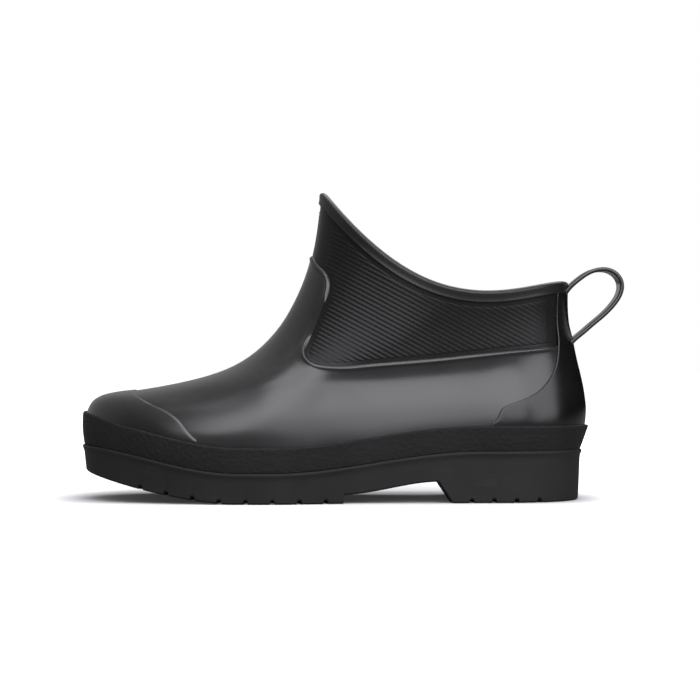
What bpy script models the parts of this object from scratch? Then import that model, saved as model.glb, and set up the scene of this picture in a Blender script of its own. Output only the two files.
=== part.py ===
"""Low rubber ankle boot for the left foot, standing empty on its sole.

Metres. +X runs from toe to heel, -Y is the boot's outer side and +Z is up. The origin lies on the floor under
the middle of the boot. A station is a length along the boot, measured back from the toe of the foxing.
"""

import math

import bmesh
import bpy
import numpy as np

# Overall sizes
LENGTH = 0.2902  # foxing, toe to heel
LOOP_REACH = 0.0202  # pull loop past the foxing's heel
ORIGIN_STATION = (LENGTH + LOOP_REACH) / 2

# Plan of the foot
BALL_STATION = 0.096  # midway between the two ball joints
BALL_SKEW = 0.008  # the outer joint lies this much further back, the inner one further forward
WAIST_STATION = 0.172
HEEL_STATION = 0.246
WAIST_HOLLOW = 0.005  # the inner side of the waist is this much narrower at the sole
TOE_SWING = 0.0046  # the toe leans to the inner side by this much
SWING_LENGTH = 0.120  # from the toe back to where the lean begins
SIDE_SHIFT = -0.0007  # centres the boot's width on the origin

# Walls and sheets
SEAT = 0.0003  # clearance between pieces that lie on each other
WALL = 0.0020  # shaft of the upper
VAMP = 0.0010  # extra thickness of the upper below its beaded edge
BEAD = 0.0007  # bead's height above the vamp
BEAD_WIDTH = 0.0020
BEAD_CREST = (0.7, 0.2)  # edges of the bead's flat crest, as shares of its width below the vamp's edge
BEAD_END = 0.2655  # station where the bead has run out
BEAD_FADE = 0.0080
SHEET = 0.0007  # toe cap and heel counter
CAP_CORNER = 0.97  # share of its edge the toe cap keeps, short of the sharp corner at the foxing
COUNTER_SEAT = 0.0004  # under the heel counter, whose facets cross those of the upper
COUNTER_STEP_START = 0.03  # level above the vamp's edge where the counter starts to come in
COUNTER_STEP_LENGTH = 0.04  # levels it takes to reach the shaft
STAY_TOP = 0.0011  # outside of the back stay above the shaft, at the collar
DIP_FADE = 3  # power with which the dips of the sole line and the collar fade over the levels
HOLLOW_FADE = 4

# Collar
COLLAR_DIP = 0.149  # scale of the dip between the front peak and the back
COLLAR_FRONT_POWER = 1.08
COLLAR_BACK_POWER = 1.30
BINDING = 0.0008  # thickness of the collar binding
BINDING_OUTSIDE = 0.0054  # its width on the outside
BINDING_INSIDE = 0.0045
BINDING_BEVEL = 0.0003  # at its lower edge
BINDING_ROUND_START = 0.0004  # below the rim
BINDING_ROUND = 0.0006  # how far the sides of the fold come in at its shoulder
BINDING_SHOULDER = 0.0008  # above the rim
BINDING_CROWN = 0.0011

# Sole
SEAM_LOW = 0.0172  # top of the outsole at the ball
SEAM_TOE_RISE = 0.0143
SEAM_TOE_LENGTH = 0.092
SEAM_HEEL_RISE = 0.0116
SEAM_HEEL_START = 0.112
SEAM_HEEL_LENGTH = 0.113
FOXING_HEIGHT = 0.0142
FOXING_TOE_RISE = 0.0038  # extra height of the foxing at the toe
FOXING_TOE_LENGTH = 0.030
FOXING_GROOVE = 0.0007  # gap between the foxing and the outsole
TOE_SPRING = 0.0177
SPRING_LENGTH = 0.088
SPRING_POWER = 1.45
TREAD_END = 0.1500  # back of the forefoot tread
ARCH_START = 0.0050  # height of the waist's underside behind the tread
ARCH_END = 0.0120  # and before the heel
BREAST_TOP = 0.2030  # heel breast, leaning back down to the floor
BREAST_FOOT = 0.2110
GROOVE_WIDTH = 0.0030
GROOVE_DEPTH = 0.0024
GROOVE_LENGTH = 0.0140  # in from the edge of the sole
GROOVE_DRAFT = 0.0005
FORE_GROOVES = 8
FORE_GROOVE_FIRST = 0.0380
FORE_GROOVE_PITCH = 0.0146
HEEL_GROOVES = 4
HEEL_GROOVE_FIRST = 0.2215
HEEL_GROOVE_PITCH = 0.0125
SOLE_FOOT = 0.0010  # edge of the tread, out from the last
SOLE_FOOT_SIDE = 0.0018  # the same above the bevel
SOLE_FOOT_BEVEL = 0.0010
SOLE_SIDE_LEAST = 0.0050  # the bevel stays at least this far below the seam
INSOLE = 0.0030
INSOLE_MARGIN = 0.0006  # clearance round the insole
INSOLE_BEVEL = 0.0008

# Outside of the foxing: share of its height, offset from the last
FOXING_PROFILE = (
    (0.00, 0.0027),
    (0.15, 0.0030),
    (0.60, 0.0034),
    (0.92, 0.0039),  # flared top
    (1.00, 0.0034),
)

# Lip of the outsole: depth below the seam, offset from the last
SOLE_LIP_PROFILE = (
    (0.0000, 0.0030),
    (0.0006, 0.0038),
    (0.0016, 0.0038),
    (0.0030, 0.0030),
)

# Pull loop
LOOP_WIDTH = 0.0190
LOOP_THICK = 0.0024

# Mesh counts
HALF_COLUMNS = 34  # columns from the front of the upper to its back
VAMP_ROWS = 11
SHAFT_ROWS = 6
CAP_COLUMNS = 14
CAP_ROWS = 7
COUNTER_COLUMNS = 26
COUNTER_ROWS = 16
LOOP_STEPS = 32
FINE_STEPS = 400  # for measuring lengths along curves
HALVINGS = 48  # for searches by halving
SHIFT_STEP = 0.0007  # longest single move of a line over the curved surface
SLOPE_STEP = 1e-4  # for slopes of the surface
COLUMN_GAP = 0.0030  # other columns of the outsole keep this far from the edges of a groove

# Sections of the upper: each is a ring round the boot that passes through a point of the front line and a
# point of the back line. Nose and seat are the lengths over which the ring rounds off at its two ends.
SECTION_COLUMNS = (
    "front_station", "front_height", "back_station", "back_height",
    "nose", "nose_power", "seat", "ball", "waist", "heel",
)
SECTIONS = (
    (0.0042, 0.0317, 0.2826, 0.0291, 0.082, 2.25, 0.046, 0.0496, 0.0390, 0.0352),  # feather line
    (0.0038, 0.0440, 0.2860, 0.0410, 0.085, 2.25, 0.047, 0.0512, 0.0402, 0.0371),  # toe front
    (0.0074, 0.0545, 0.2870, 0.0500, 0.099, 2.15, 0.048, 0.0508, 0.0395, 0.0367),  # toe shoulder
    (0.0195, 0.0592, 0.2867, 0.0560, 0.099, 2.05, 0.050, 0.0500, 0.0387, 0.0359),  # toe top
    (0.0390, 0.0623, 0.2856, 0.0635, 0.090, 2.00, 0.052, 0.0489, 0.0375, 0.0346),  # behind the toe cap
    (0.0672, 0.0681, 0.2836, 0.0725, 0.069, 2.00, 0.054, 0.0472, 0.0361, 0.0332),  # ball
    (0.0876, 0.0753, 0.2819, 0.0795, 0.059, 2.00, 0.056, 0.0456, 0.0356, 0.0327),  # vamp
    (0.1064, 0.0890, 0.2799, 0.0895, 0.063, 2.00, 0.058, 0.0442, 0.0361, 0.0329),  # instep
    (0.1205, 0.1082, 0.2782, 0.1010, 0.071, 2.00, 0.060, 0.0432, 0.0369, 0.0334),  # bend
    (0.1322, 0.1375, 0.2775, 0.1130, 0.077, 2.00, 0.061, 0.0427, 0.0386, 0.0347),  # shin
    (0.1374, 0.1742, 0.2778, 0.1230, 0.080, 2.00, 0.062, 0.0424, 0.0412, 0.0368),  # collar
)

# Lines drawn on the side of the upper, from front to back: station, height
VAMP_LINE = (
    (0.1323, 0.1392),  # top of the instep tab, in front
    (0.1357, 0.1339),
    (0.1420, 0.1262),  # shoulder of the tab
    (0.1424, 0.1190),
    (0.1390, 0.1091),  # tab's side
    (0.1328, 0.0934),
    (0.1296, 0.0838),  # corner
    (0.1322, 0.0789),
    (0.1400, 0.0768),
    (0.1640, 0.0778),
    (0.2040, 0.0812),  # under the ankle
    (0.2500, 0.0860),
    (0.2802, 0.0885),  # behind the heel
)
TOE_CAP_LINE = (
    (0.0293, 0.0611),  # on the ridge
    (0.0350, 0.0580),
    (0.0430, 0.0545),
    (0.0540, 0.0500),
    (0.0600, 0.0455),
    (0.0655, 0.0390),
    (0.0700, 0.0350),  # at the foxing
)
COUNTER_LINE = (
    (0.2310, 0.0436),  # at the foxing
    (0.2358, 0.0475),
    (0.2375, 0.0515),
    (0.2460, 0.0560),
    (0.2600, 0.0630),
    (0.2660, 0.0700),
    (0.2696, 0.0800),
    (0.2704, 0.0920),
    (0.2704, 0.1148),  # at the collar binding
)

# Middle line of the pull loop's strap: station, height
LOOP_LINE = (
    (0.2801, 0.1160),  # upper end on the back stay
    (0.2810, 0.1205),
    (0.2845, 0.1252),
    (0.2902, 0.1293),
    (0.2972, 0.1313),
    (0.3042, 0.1297),
    (0.3085, 0.1243),
    (0.3082, 0.1178),
    (0.3045, 0.1115),
    (0.2985, 0.1052),
    (0.2917, 0.0995),
    (0.2864, 0.0945),
    (0.2842, 0.0910),
    (0.2842, 0.0868),  # lower end on the back stay
)


def smooth(x):
    """Eases from 0 to 1, flat at both ends."""
    x = np.clip(x, 0.0, 1.0)
    return x * x * (3 - 2 * x)


def lengths_along(points):
    """Length from the first point to each point of a line."""
    steps = np.linalg.norm(np.diff(points, axis=0), axis=1)
    return np.concatenate(([0.0], np.cumsum(steps)))


def spline(knots, values):
    """Natural cubic spline through rows of values, as a function of the knot."""
    knots = np.asarray(knots, float)
    values = np.asarray(values, float)
    gaps = np.diff(knots)
    slopes = np.diff(values, axis=0) / gaps[:, None]
    system = np.eye(len(knots))
    right = np.zeros_like(values)
    for i in range(1, len(knots) - 1):
        system[i, i - 1 : i + 2] = gaps[i - 1], 2 * (gaps[i - 1] + gaps[i]), gaps[i]
        right[i] = 6 * (slopes[i] - slopes[i - 1])
    bends = np.linalg.solve(system, right)

    def at(x):
        x = np.atleast_1d(np.asarray(x, float))
        i = np.clip(np.searchsorted(knots, x, side="right") - 1, 0, len(knots) - 2)
        gap = gaps[i][:, None]
        after = (x - knots[i])[:, None]
        before = gap - after
        curved = (bends[i] * before**3 + bends[i + 1] * after**3) / (6 * gap)
        near = (values[i] / gap - bends[i] * gap / 6) * before
        far = (values[i + 1] / gap - bends[i + 1] * gap / 6) * after
        return curved + near + far

    return at


SECTION_TABLE = np.array(SECTIONS)
SECTION_LEVELS = lengths_along(SECTION_TABLE[:, :2])
SECTION_LEVELS = SECTION_LEVELS / SECTION_LEVELS[-1]
SECTION_AT = spline(SECTION_LEVELS, SECTION_TABLE)


def section(level):
    """Named sizes of the ring at a level: 0 at the feather line, 1 at the collar."""
    return dict(zip(SECTION_COLUMNS, SECTION_AT(level).T))


def seam_height(station):
    """Top of the outsole, where the foxing meets it."""
    toe = SEAM_TOE_RISE * (1 - smooth(station / SEAM_TOE_LENGTH))
    heel = SEAM_HEEL_RISE * smooth((station - SEAM_HEEL_START) / SEAM_HEEL_LENGTH)
    return SEAM_LOW + toe + heel


def foxing_top(station):
    toe = FOXING_TOE_RISE * (1 - smooth(station / FOXING_TOE_LENGTH))
    return seam_height(station) + FOXING_HEIGHT + toe


def tread_height(station):
    """Underside of the sole above the floor, without its grooves."""
    spring = TOE_SPRING * np.clip(1 - station / SPRING_LENGTH, 0, 1) ** SPRING_POWER
    along = (station - TREAD_END) / (BREAST_TOP - TREAD_END)
    arch = ARCH_START + (ARCH_END - ARCH_START) * smooth(along)
    breast = ARCH_END * np.clip((BREAST_FOOT - station) / (BREAST_FOOT - BREAST_TOP), 0, 1)
    inside = (station > TREAD_END) & (station < BREAST_FOOT)
    return np.where(inside, np.minimum(arch, breast), spring)


def ring_height(share, level, row):
    """Height of a ring at a share of its way from front to back."""
    base = section(np.zeros(1))
    base_station = base["front_station"] + (base["back_station"] - base["front_station"]) * share
    base_chord = base["front_height"] + (base["back_height"] - base["front_height"]) * share
    sole_dip = seam_height(base_station) + SEAT - base_chord
    collar_dip = -COLLAR_DIP * share**COLLAR_FRONT_POWER * (1 - share) ** COLLAR_BACK_POWER
    chord = row["front_height"] + (row["back_height"] - row["front_height"]) * share
    return chord + (1 - level) ** DIP_FADE * sole_dip + level**DIP_FADE * collar_dip


def last(angle, level):
    """Point of the shaft's outside: angle 0 in front, then round by the outer side; level 0 to 1 upward."""
    angle, level = np.broadcast_arrays(np.asarray(angle, float), np.asarray(level, float))
    shape = angle.shape
    angle = angle.ravel()
    level = level.ravel()
    row = section(level)
    outer = np.sin(angle) >= 0
    share = (1 - np.cos(angle)) / 2
    depth = row["back_station"] - row["front_station"]
    station = row["front_station"] + depth * share
    ball = BALL_STATION + np.where(outer, BALL_SKEW, -BALL_SKEW)
    to_waist = smooth((station - ball) / (WAIST_STATION - ball))
    to_heel = smooth((station - WAIST_STATION) / (HEEL_STATION - WAIST_STATION))
    width = row["ball"] + (row["waist"] - row["ball"]) * to_waist + (row["heel"] - row["waist"]) * to_heel
    hollow = WAIST_HOLLOW * (1 - level) ** HOLLOW_FADE * to_waist * (1 - to_heel)
    width = width - np.where(outer, 0, hollow)
    nose = 1 - np.clip(depth * share / row["nose"], 0, 1)
    seat = 1 - np.clip(depth * (1 - share) / row["seat"], 0, 1)
    power = row["nose_power"]
    width = width * np.clip(1 - nose**power, 0, 1) ** (1 / power) * np.sqrt(np.clip(1 - seat**2, 0, 1))
    swing = TOE_SWING * smooth(1 - station / SWING_LENGTH) + SIDE_SHIFT
    height = ring_height(share, level, row)
    across = np.where(outer, -width, width) + swing
    return np.stack((station - ORIGIN_STATION, across, height), axis=-1).reshape(*shape, 3)


def slopes_of(angle, level):
    """Change of the surface point with angle and with level."""
    step = SLOPE_STEP
    by_angle = (last(angle + step, level) - last(angle - step, level)) / (2 * step)
    by_level = (last(angle, level + step) - last(angle, level - step)) / (2 * step)
    return by_angle, by_level


def outward(angle, level):
    by_angle, by_level = slopes_of(angle, level)
    normal = np.cross(by_angle, by_level)
    return normal / np.linalg.norm(normal, axis=-1, keepdims=True)


def laid(angle, level, offset):
    """Point at an offset outside the shaft's outer surface."""
    offset = np.broadcast_to(np.asarray(offset, float), np.shape(angle))
    return last(angle, level) + outward(angle, level) * offset[..., None]


def locate(station, height):
    """Angle and level of a point of the outer side, from its station and height."""
    low = 0.0
    high = 1.0
    for _ in range(HALVINGS):
        level = (low + high) / 2
        row = section(level)
        share = np.clip((station - row["front_station"]) / (row["back_station"] - row["front_station"]), 0, 1)
        if ring_height(share, level, row)[0] < height:
            low = level
        else:
            high = level
    return math.acos(1 - 2 * float(share[0])), level


def course(stops, count, front=False, back=False):
    """Angles and levels at equal steps along a line through stops.

    A line that ends in front or at the back crosses the boot's middle squarely there.
    """
    path = [locate(station, height) for station, height in stops]
    if front:
        path[0] = (0.0, path[0][1])
        path.insert(0, (-path[1][0], path[1][1]))
    if back:
        path[-1] = (math.pi, path[-1][1])
        path.append((2 * math.pi - path[-2][0], path[-2][1]))
    path = np.array(path)
    knots = lengths_along(last(path[:, 0], path[:, 1]))
    at = spline(knots, path)
    start = knots[1] if front else knots[0]
    end = knots[-2] if back else knots[-1]
    fine = at(np.linspace(start, end, FINE_STEPS))
    run = lengths_along(last(fine[:, 0], fine[:, 1]))
    even = np.linspace(0, run[-1], count + 1)
    return np.interp(even, run, fine[:, 0]), np.interp(even, run, fine[:, 1])


def all_round(angle, level):
    """Adds the inner side to a line that runs from the front to the back of the outer side."""
    angle = np.concatenate((angle, 2 * math.pi - angle[-2:0:-1]))
    return angle, np.concatenate((level, level[-2:0:-1]))


def shifted(angle, level, distance):
    """A closed line moved up the surface by a distance, square to its own run, in short steps."""
    steps = max(1, math.ceil(abs(distance) / SHIFT_STEP))
    for _ in range(steps):
        by_angle, by_level = slopes_of(angle, level)
        points = last(angle, level)
        run = np.roll(points, -1, axis=0) - np.roll(points, 1, axis=0)
        up = np.cross(outward(angle, level), run)
        up = up / np.linalg.norm(up, axis=-1, keepdims=True) * distance / steps
        planes = np.stack((by_angle, by_level), axis=-1)
        moved = np.linalg.pinv(planes) @ up[..., None]
        angle = angle + moved[:, 0, 0]
        level = level + moved[:, 1, 0]
    return angle, level


def level_at(angle, height_of):
    """Level where each angle's column reaches a height that depends on its station."""
    low = np.zeros_like(angle)
    high = np.ones_like(angle)
    for _ in range(HALVINGS):
        middle = (low + high) / 2
        point = last(angle, middle)
        below = point[:, 2] < height_of(point[:, 0] + ORIGIN_STATION)
        low = np.where(below, middle, low)
        high = np.where(below, high, middle)
    return low


def material(name, grey, roughness):
    made = bpy.data.materials.new(name)
    made.use_nodes = True
    shader = made.node_tree.nodes["Principled BSDF"]
    shader.inputs["Base Color"].default_value = (grey, grey, grey, 1)
    shader.inputs["Roughness"].default_value = roughness
    return made


def finish(name, mesh, surface):
    """Turns a bmesh into the named object, its faces turned outward."""
    bmesh.ops.recalc_face_normals(mesh, faces=mesh.faces[:])
    data = bpy.data.meshes.new(name)
    mesh.to_mesh(data)
    mesh.free()
    data.materials.append(surface)
    made = bpy.data.objects.new(name, data)
    bpy.context.scene.collection.objects.link(made)
    return made


def add_points(mesh, rows):
    return [[mesh.verts.new(point) for point in row] for row in rows]


def skin(mesh, rows, closed_rows, closed_columns):
    """Faces between rows of vertices; rows or columns may close on themselves."""
    height = len(rows)
    width = len(rows[0])
    for i in range(height if closed_rows else height - 1):
        for j in range(width if closed_columns else width - 1):
            k = (j + 1) % width
            after = rows[(i + 1) % height]
            mesh.faces.new((rows[i][j], rows[i][k], after[k], after[j]))


def ladder(mesh, ring):
    """Closes a ring that starts at its front with rungs from side to side."""
    half = len(ring) // 2
    mesh.faces.new((ring[0], ring[1], ring[-1]))
    for i in range(1, half - 1):
        mesh.faces.new((ring[i], ring[i + 1], ring[-i - 1], ring[-i]))
    mesh.faces.new((ring[half - 1], ring[half], ring[half + 1]))


def tube(name, rows, surface):
    """Solid whose section runs through all rows and back to the first, closed round the boot."""
    mesh = bmesh.new()
    skin(mesh, add_points(mesh, rows), True, True)
    return finish(name, mesh, surface)


def patch(name, outside, inside, surface):
    """Solid sheet between two grids of points."""
    mesh = bmesh.new()
    outer = add_points(mesh, outside)
    inner = add_points(mesh, inside)
    skin(mesh, outer, False, False)
    skin(mesh, inner, False, False)
    border = [(i, 0) for i in range(len(outer))]
    border += [(len(outer) - 1, j) for j in range(1, len(outer[0]))]
    border += [(i, len(outer[0]) - 1) for i in range(len(outer) - 2, -1, -1)]
    border += [(0, j) for j in range(len(outer[0]) - 2, 0, -1)]
    skin(mesh, [[outer[i][j] for i, j in border], [inner[i][j] for i, j in border]], False, True)
    return finish(name, mesh, surface)


def plug(name, rings, surface):
    """Solid through a stack of rings, closed at the first and the last."""
    mesh = bmesh.new()
    rows = add_points(mesh, rings)
    skin(mesh, rows, False, True)
    ladder(mesh, rows[0])
    ladder(mesh, rows[-1])
    return finish(name, mesh, surface)


def even_angles():
    return np.linspace(0, 2 * math.pi, 2 * HALF_COLUMNS, endpoint=False)


def vamp_edge():
    return all_round(*course(VAMP_LINE, HALF_COLUMNS, front=True, back=True))


def collar_edge():
    """Angles at equal steps round the collar."""
    fine = np.linspace(0, math.pi, FINE_STEPS)
    run = lengths_along(last(fine, np.ones_like(fine)))
    angle = np.interp(np.linspace(0, run[-1], HALF_COLUMNS + 1), run, fine)
    return all_round(angle, np.ones_like(angle))


def blend(start, end, share):
    """Line partway between two lines of angles and levels."""
    return tuple(a + (b - a) * share for a, b in zip(start, end))


def make_upper(surface):
    feather = (even_angles(), np.zeros(2 * HALF_COLUMNS))
    edge = vamp_edge()
    collar = collar_edge()
    station = last(*edge)[:, 0] + ORIGIN_STATION
    # The bead runs out just before the heel counter.
    bead = BEAD * (1 - smooth((station - BEAD_END + BEAD_FADE) / BEAD_FADE))
    bead_foot = shifted(*edge, -BEAD_WIDTH)
    vamp_lines = [blend(feather, bead_foot, i / (VAMP_ROWS - 1)) for i in range(VAMP_ROWS)]
    shaft_lines = [blend(edge, collar, i / (SHAFT_ROWS - 1)) for i in range(SHAFT_ROWS)]
    rows = [laid(*line, VAMP) for line in vamp_lines]
    rows += [laid(*shifted(*edge, -share * BEAD_WIDTH), VAMP + bead) for share in BEAD_CREST]
    rows += [laid(*line, 0) for line in shaft_lines]
    # Every other line is enough for the inside, except close to the sole.
    rows += [laid(*line, -WALL) for line in shaft_lines[:0:-2]]
    rows += [laid(*line, -WALL) for line in vamp_lines[:1:-2] + vamp_lines[1::-1]]
    return tube("upper", rows, surface)


def make_foxing(surface):
    angle = even_angles()
    top = level_at(angle, foxing_top)
    rows = [laid(angle, top * share, offset) for share, offset in FOXING_PROFILE]
    rows += [laid(angle, top * share, VAMP + SEAT) for share in (1.0, 0.5, 0.0)]
    seam = seam_height(last(angle, np.zeros_like(angle))[:, 0] + ORIGIN_STATION)
    rows[0][:, 2] = seam + FOXING_GROOVE
    rows[-1][:, 2] = seam + SEAT
    return tube("foxing", rows, surface)


def groove_centres():
    fore = [FORE_GROOVE_FIRST + i * FORE_GROOVE_PITCH for i in range(FORE_GROOVES)]
    return fore + [HEEL_GROOVE_FIRST + i * HEEL_GROOVE_PITCH for i in range(HEEL_GROOVES)]


def sole_stations():
    """Stations of the outsole's columns with the depth of groove at each."""
    half = GROOVE_WIDTH / 2
    cuts = [(TREAD_END - GROOVE_DRAFT / 2, 0.0), (TREAD_END + GROOVE_DRAFT / 2, 0.0)]
    cuts += [(BREAST_TOP, 0.0), (BREAST_FOOT, 0.0)]
    for centre in groove_centres():
        cuts += [(centre - half, 0.0), (centre - half + GROOVE_DRAFT, GROOVE_DEPTH)]
        cuts += [(centre + half - GROOVE_DRAFT, GROOVE_DEPTH), (centre + half, 0.0)]
    row = section(np.zeros(1))
    front = row["front_station"][0]
    back = row["back_station"][0]
    even = front + (back - front) * (1 - np.cos(np.linspace(0, math.pi, HALF_COLUMNS + 1))) / 2
    cuts += [(x, 0.0) for x in even if min(abs(x - cut) for cut, _ in cuts) > COLUMN_GAP]
    return np.array(sorted(cuts)), front, back


def make_outsole(surface):
    stations, front, back = sole_stations()
    angle = np.arccos(np.clip(1 - 2 * (stations[:, 0] - front) / (back - front), -1, 1))
    angle, station = all_round(angle, stations[:, 0])
    cut = np.concatenate((stations[:, 1], stations[-2:0:-1, 1]))
    base = last(angle, np.zeros_like(angle))
    side = outward(angle, np.zeros_like(angle)) * (1, 1, 0)
    side = side / np.linalg.norm(side, axis=-1, keepdims=True)
    seam = seam_height(station)
    under = tread_height(station) + cut
    outline = [(seam - depth, offset) for depth, offset in SOLE_LIP_PROFILE]
    outline.append((np.minimum(under + SOLE_FOOT_BEVEL, seam - SOLE_SIDE_LEAST), SOLE_FOOT_SIDE))
    outline.append((under, SOLE_FOOT))
    rings = []
    for height, offset in outline:
        ring = base + side * offset
        ring[:, 2] = height
        rings.append(ring)
    # The grooves end short of the middle, and the ring inside them lies on the plain tread.
    for inset, share in ((GROOVE_LENGTH - GROOVE_DRAFT, 1), (GROOVE_LENGTH, 0)):
        ring = base - side * inset
        along = np.where(station < SPRING_LENGTH, ring[:, 0] + ORIGIN_STATION, station)
        ring[:, 2] = tread_height(along) + share * cut
        rings.append(ring)
    return plug("outsole", rings, surface)


def make_insole(surface):
    angle = even_angles()
    level = np.zeros_like(angle)
    seam = seam_height(last(angle, level)[:, 0] + ORIGIN_STATION)
    rings = []
    for inset, height in ((0.0, 0.0), (0.0, INSOLE - INSOLE_BEVEL), (INSOLE_BEVEL, INSOLE)):
        ring = laid(angle, level, -(WALL + INSOLE_MARGIN + inset))
        ring[:, 2] = seam + SEAT + height
        rings.append(ring)
    return plug("insole", rings, surface)


def binding_foot():
    return shifted(*collar_edge(), -BINDING_OUTSIDE)


def make_binding(surface):
    edge = collar_edge()
    up = np.cross(outward(*edge), np.roll(last(*edge), -1, axis=0) - np.roll(last(*edge), 1, axis=0))
    up = up / np.linalg.norm(up, axis=-1, keepdims=True)
    outer = SEAT + BINDING
    inner = -(WALL + SEAT + BINDING)
    # Distance up from the rim, offset from the last: once round the folded strip
    fold = (
        (-BINDING_OUTSIDE, SEAT),
        (-BINDING_OUTSIDE + BINDING_BEVEL, outer),
        (-BINDING_ROUND_START, outer),
        (BINDING_SHOULDER, outer - BINDING_ROUND),
        (BINDING_CROWN, -WALL / 2),
        (BINDING_SHOULDER, inner + BINDING_ROUND),
        (-BINDING_ROUND_START, inner),
        (-BINDING_INSIDE, inner),
        (-BINDING_INSIDE, -WALL - SEAT),
        (SEAT, -WALL - SEAT),
        (SEAT, SEAT),
    )
    rows = []
    for rise, offset in fold:
        below = shifted(*edge, min(rise, 0.0))
        rows.append(laid(*below, offset) + up * max(rise, 0.0))
    return tube("collar_binding", rows, surface)


def make_toe_cap(surface):
    columns = CAP_COLUMNS
    rows = CAP_ROWS
    angle, level = course(TOE_CAP_LINE, columns, front=True)
    keep = np.linspace(0, CAP_CORNER * columns, columns + 1)
    top_angle = np.interp(keep, np.arange(columns + 1), angle)
    top_level = np.interp(keep, np.arange(columns + 1), level)
    foot_angle = np.linspace(0, CAP_CORNER * angle[-1], columns + 1)
    foot_level = level_at(foot_angle, lambda station: foxing_top(station) + 2 * SEAT)
    top_angle = np.concatenate((-top_angle[:0:-1], top_angle))
    top_level = np.concatenate((top_level[:0:-1], top_level))
    foot_angle = np.concatenate((-foot_angle[:0:-1], foot_angle))
    foot_level = np.concatenate((foot_level[:0:-1], foot_level))
    lines = [blend((foot_angle, foot_level), (top_angle, top_level), i / (rows - 1)) for i in range(rows)]
    inner = VAMP + SEAT
    outside = [laid(*line, inner + SHEET) for line in lines]
    inside = [laid(*line, inner) for line in lines]
    return patch("toe_cap", outside, inside, surface)


def make_counter(surface):
    around, rim = shifted(*binding_foot(), -2 * SEAT)
    order = np.argsort(around)
    vamp_angle, vamp_level = vamp_edge()

    def span(angle):
        """Levels of the foxing and of the collar binding at these angles."""
        foot = level_at(angle, lambda station: foxing_top(station) + 2 * SEAT)
        return foot, np.interp(angle, around[order], rim[order])

    edge_angle, edge_level = course(COUNTER_LINE, COUNTER_ROWS - 1)
    foot, top = span(edge_angle)
    shares = (edge_level - foot) / (top - foot)
    shares[0] = 0
    shares[-1] = 1
    outside = []
    inside = []
    for start, share in zip(edge_angle, shares):
        angle = np.linspace(start, 2 * math.pi - start, COUNTER_COLUMNS + 1)
        foot, top = span(angle)
        level = foot + (top - foot) * share
        above_vamp = level - np.interp(angle, vamp_angle, vamp_level)
        over_vamp = 1 - smooth((above_vamp - COUNTER_STEP_START) / COUNTER_STEP_LENGTH)
        outside.append(laid(angle, level, STAY_TOP + (VAMP + SEAT + SHEET - STAY_TOP) * over_vamp))
        inside.append(laid(angle, level, COUNTER_SEAT + VAMP * over_vamp))
    return patch("heel_counter", outside, inside, surface)


def make_loop(surface):
    stops = np.array(LOOP_LINE)
    at = spline(lengths_along(stops), stops)
    path = at(np.linspace(0, lengths_along(stops)[-1], LOOP_STEPS + 1))
    along = np.gradient(path, axis=0)
    along = along / np.linalg.norm(along, axis=-1, keepdims=True)
    square = np.stack((-along[:, 1], along[:, 0]), axis=-1)
    half = LOOP_WIDTH / 2
    mesh = bmesh.new()
    rows = []
    for point, across in zip(path, square):
        ring = []
        for side, face in ((-half, 1), (half, 1), (half, -1), (-half, -1)):
            place = point + across * face * LOOP_THICK / 2
            ring.append(mesh.verts.new((place[0] - ORIGIN_STATION, side, place[1])))
        rows.append(ring)
    skin(mesh, rows, False, True)
    mesh.faces.new(rows[0])
    mesh.faces.new(rows[-1])
    return finish("pull_loop", mesh, surface)


def build():
    for old in list(bpy.data.objects):
        bpy.data.objects.remove(old)
    make_outsole(material("tread_rubber", 0.030, 0.75))
    make_foxing(material("rough_rubber", 0.026, 0.80))
    make_upper(material("upper_rubber", 0.020, 0.40))
    make_insole(material("insole_cloth", 0.060, 0.95))
    make_binding(material("binding_rubber", 0.020, 0.45))
    make_toe_cap(material("toe_rubber", 0.020, 0.40))
    make_counter(material("heel_rubber", 0.016, 0.30))
    make_loop(material("strap_rubber", 0.030, 0.55))


build()
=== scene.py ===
"""Looks of the low rubber ankle boot for the left foot: its visible surfaces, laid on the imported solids.

Metres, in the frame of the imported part: the toe points to -X, the outer side to -Y and +Z is up. A station is
a length along the boot, measured back from the toe of the foxing.
"""

import math

import bmesh
import bpy
import numpy as np
from mathutils.kdtree import KDTree
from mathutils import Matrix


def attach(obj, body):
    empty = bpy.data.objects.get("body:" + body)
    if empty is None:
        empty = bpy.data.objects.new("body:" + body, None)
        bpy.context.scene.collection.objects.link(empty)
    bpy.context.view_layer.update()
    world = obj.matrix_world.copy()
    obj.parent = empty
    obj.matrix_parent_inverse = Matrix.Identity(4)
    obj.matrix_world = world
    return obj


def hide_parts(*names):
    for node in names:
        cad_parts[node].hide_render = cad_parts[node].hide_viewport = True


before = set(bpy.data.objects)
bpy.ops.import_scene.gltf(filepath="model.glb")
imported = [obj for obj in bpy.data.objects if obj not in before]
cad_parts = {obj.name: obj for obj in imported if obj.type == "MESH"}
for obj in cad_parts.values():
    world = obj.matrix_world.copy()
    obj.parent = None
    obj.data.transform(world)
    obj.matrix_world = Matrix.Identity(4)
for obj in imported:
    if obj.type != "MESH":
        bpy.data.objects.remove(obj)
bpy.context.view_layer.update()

# Overall sizes, as in the part's source
LENGTH = 0.2902  # foxing, toe to heel
LOOP_REACH = 0.0202  # pull loop past the foxing's heel
ORIGIN_STATION = (LENGTH + LOOP_REACH) / 2

# Plan of the foot
BALL_STATION = 0.096
BALL_SKEW = 0.008
WAIST_STATION = 0.172
HEEL_STATION = 0.246
WAIST_HOLLOW = 0.005
TOE_SWING = 0.0046
SWING_LENGTH = 0.120
SIDE_SHIFT = -0.0007

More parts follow.
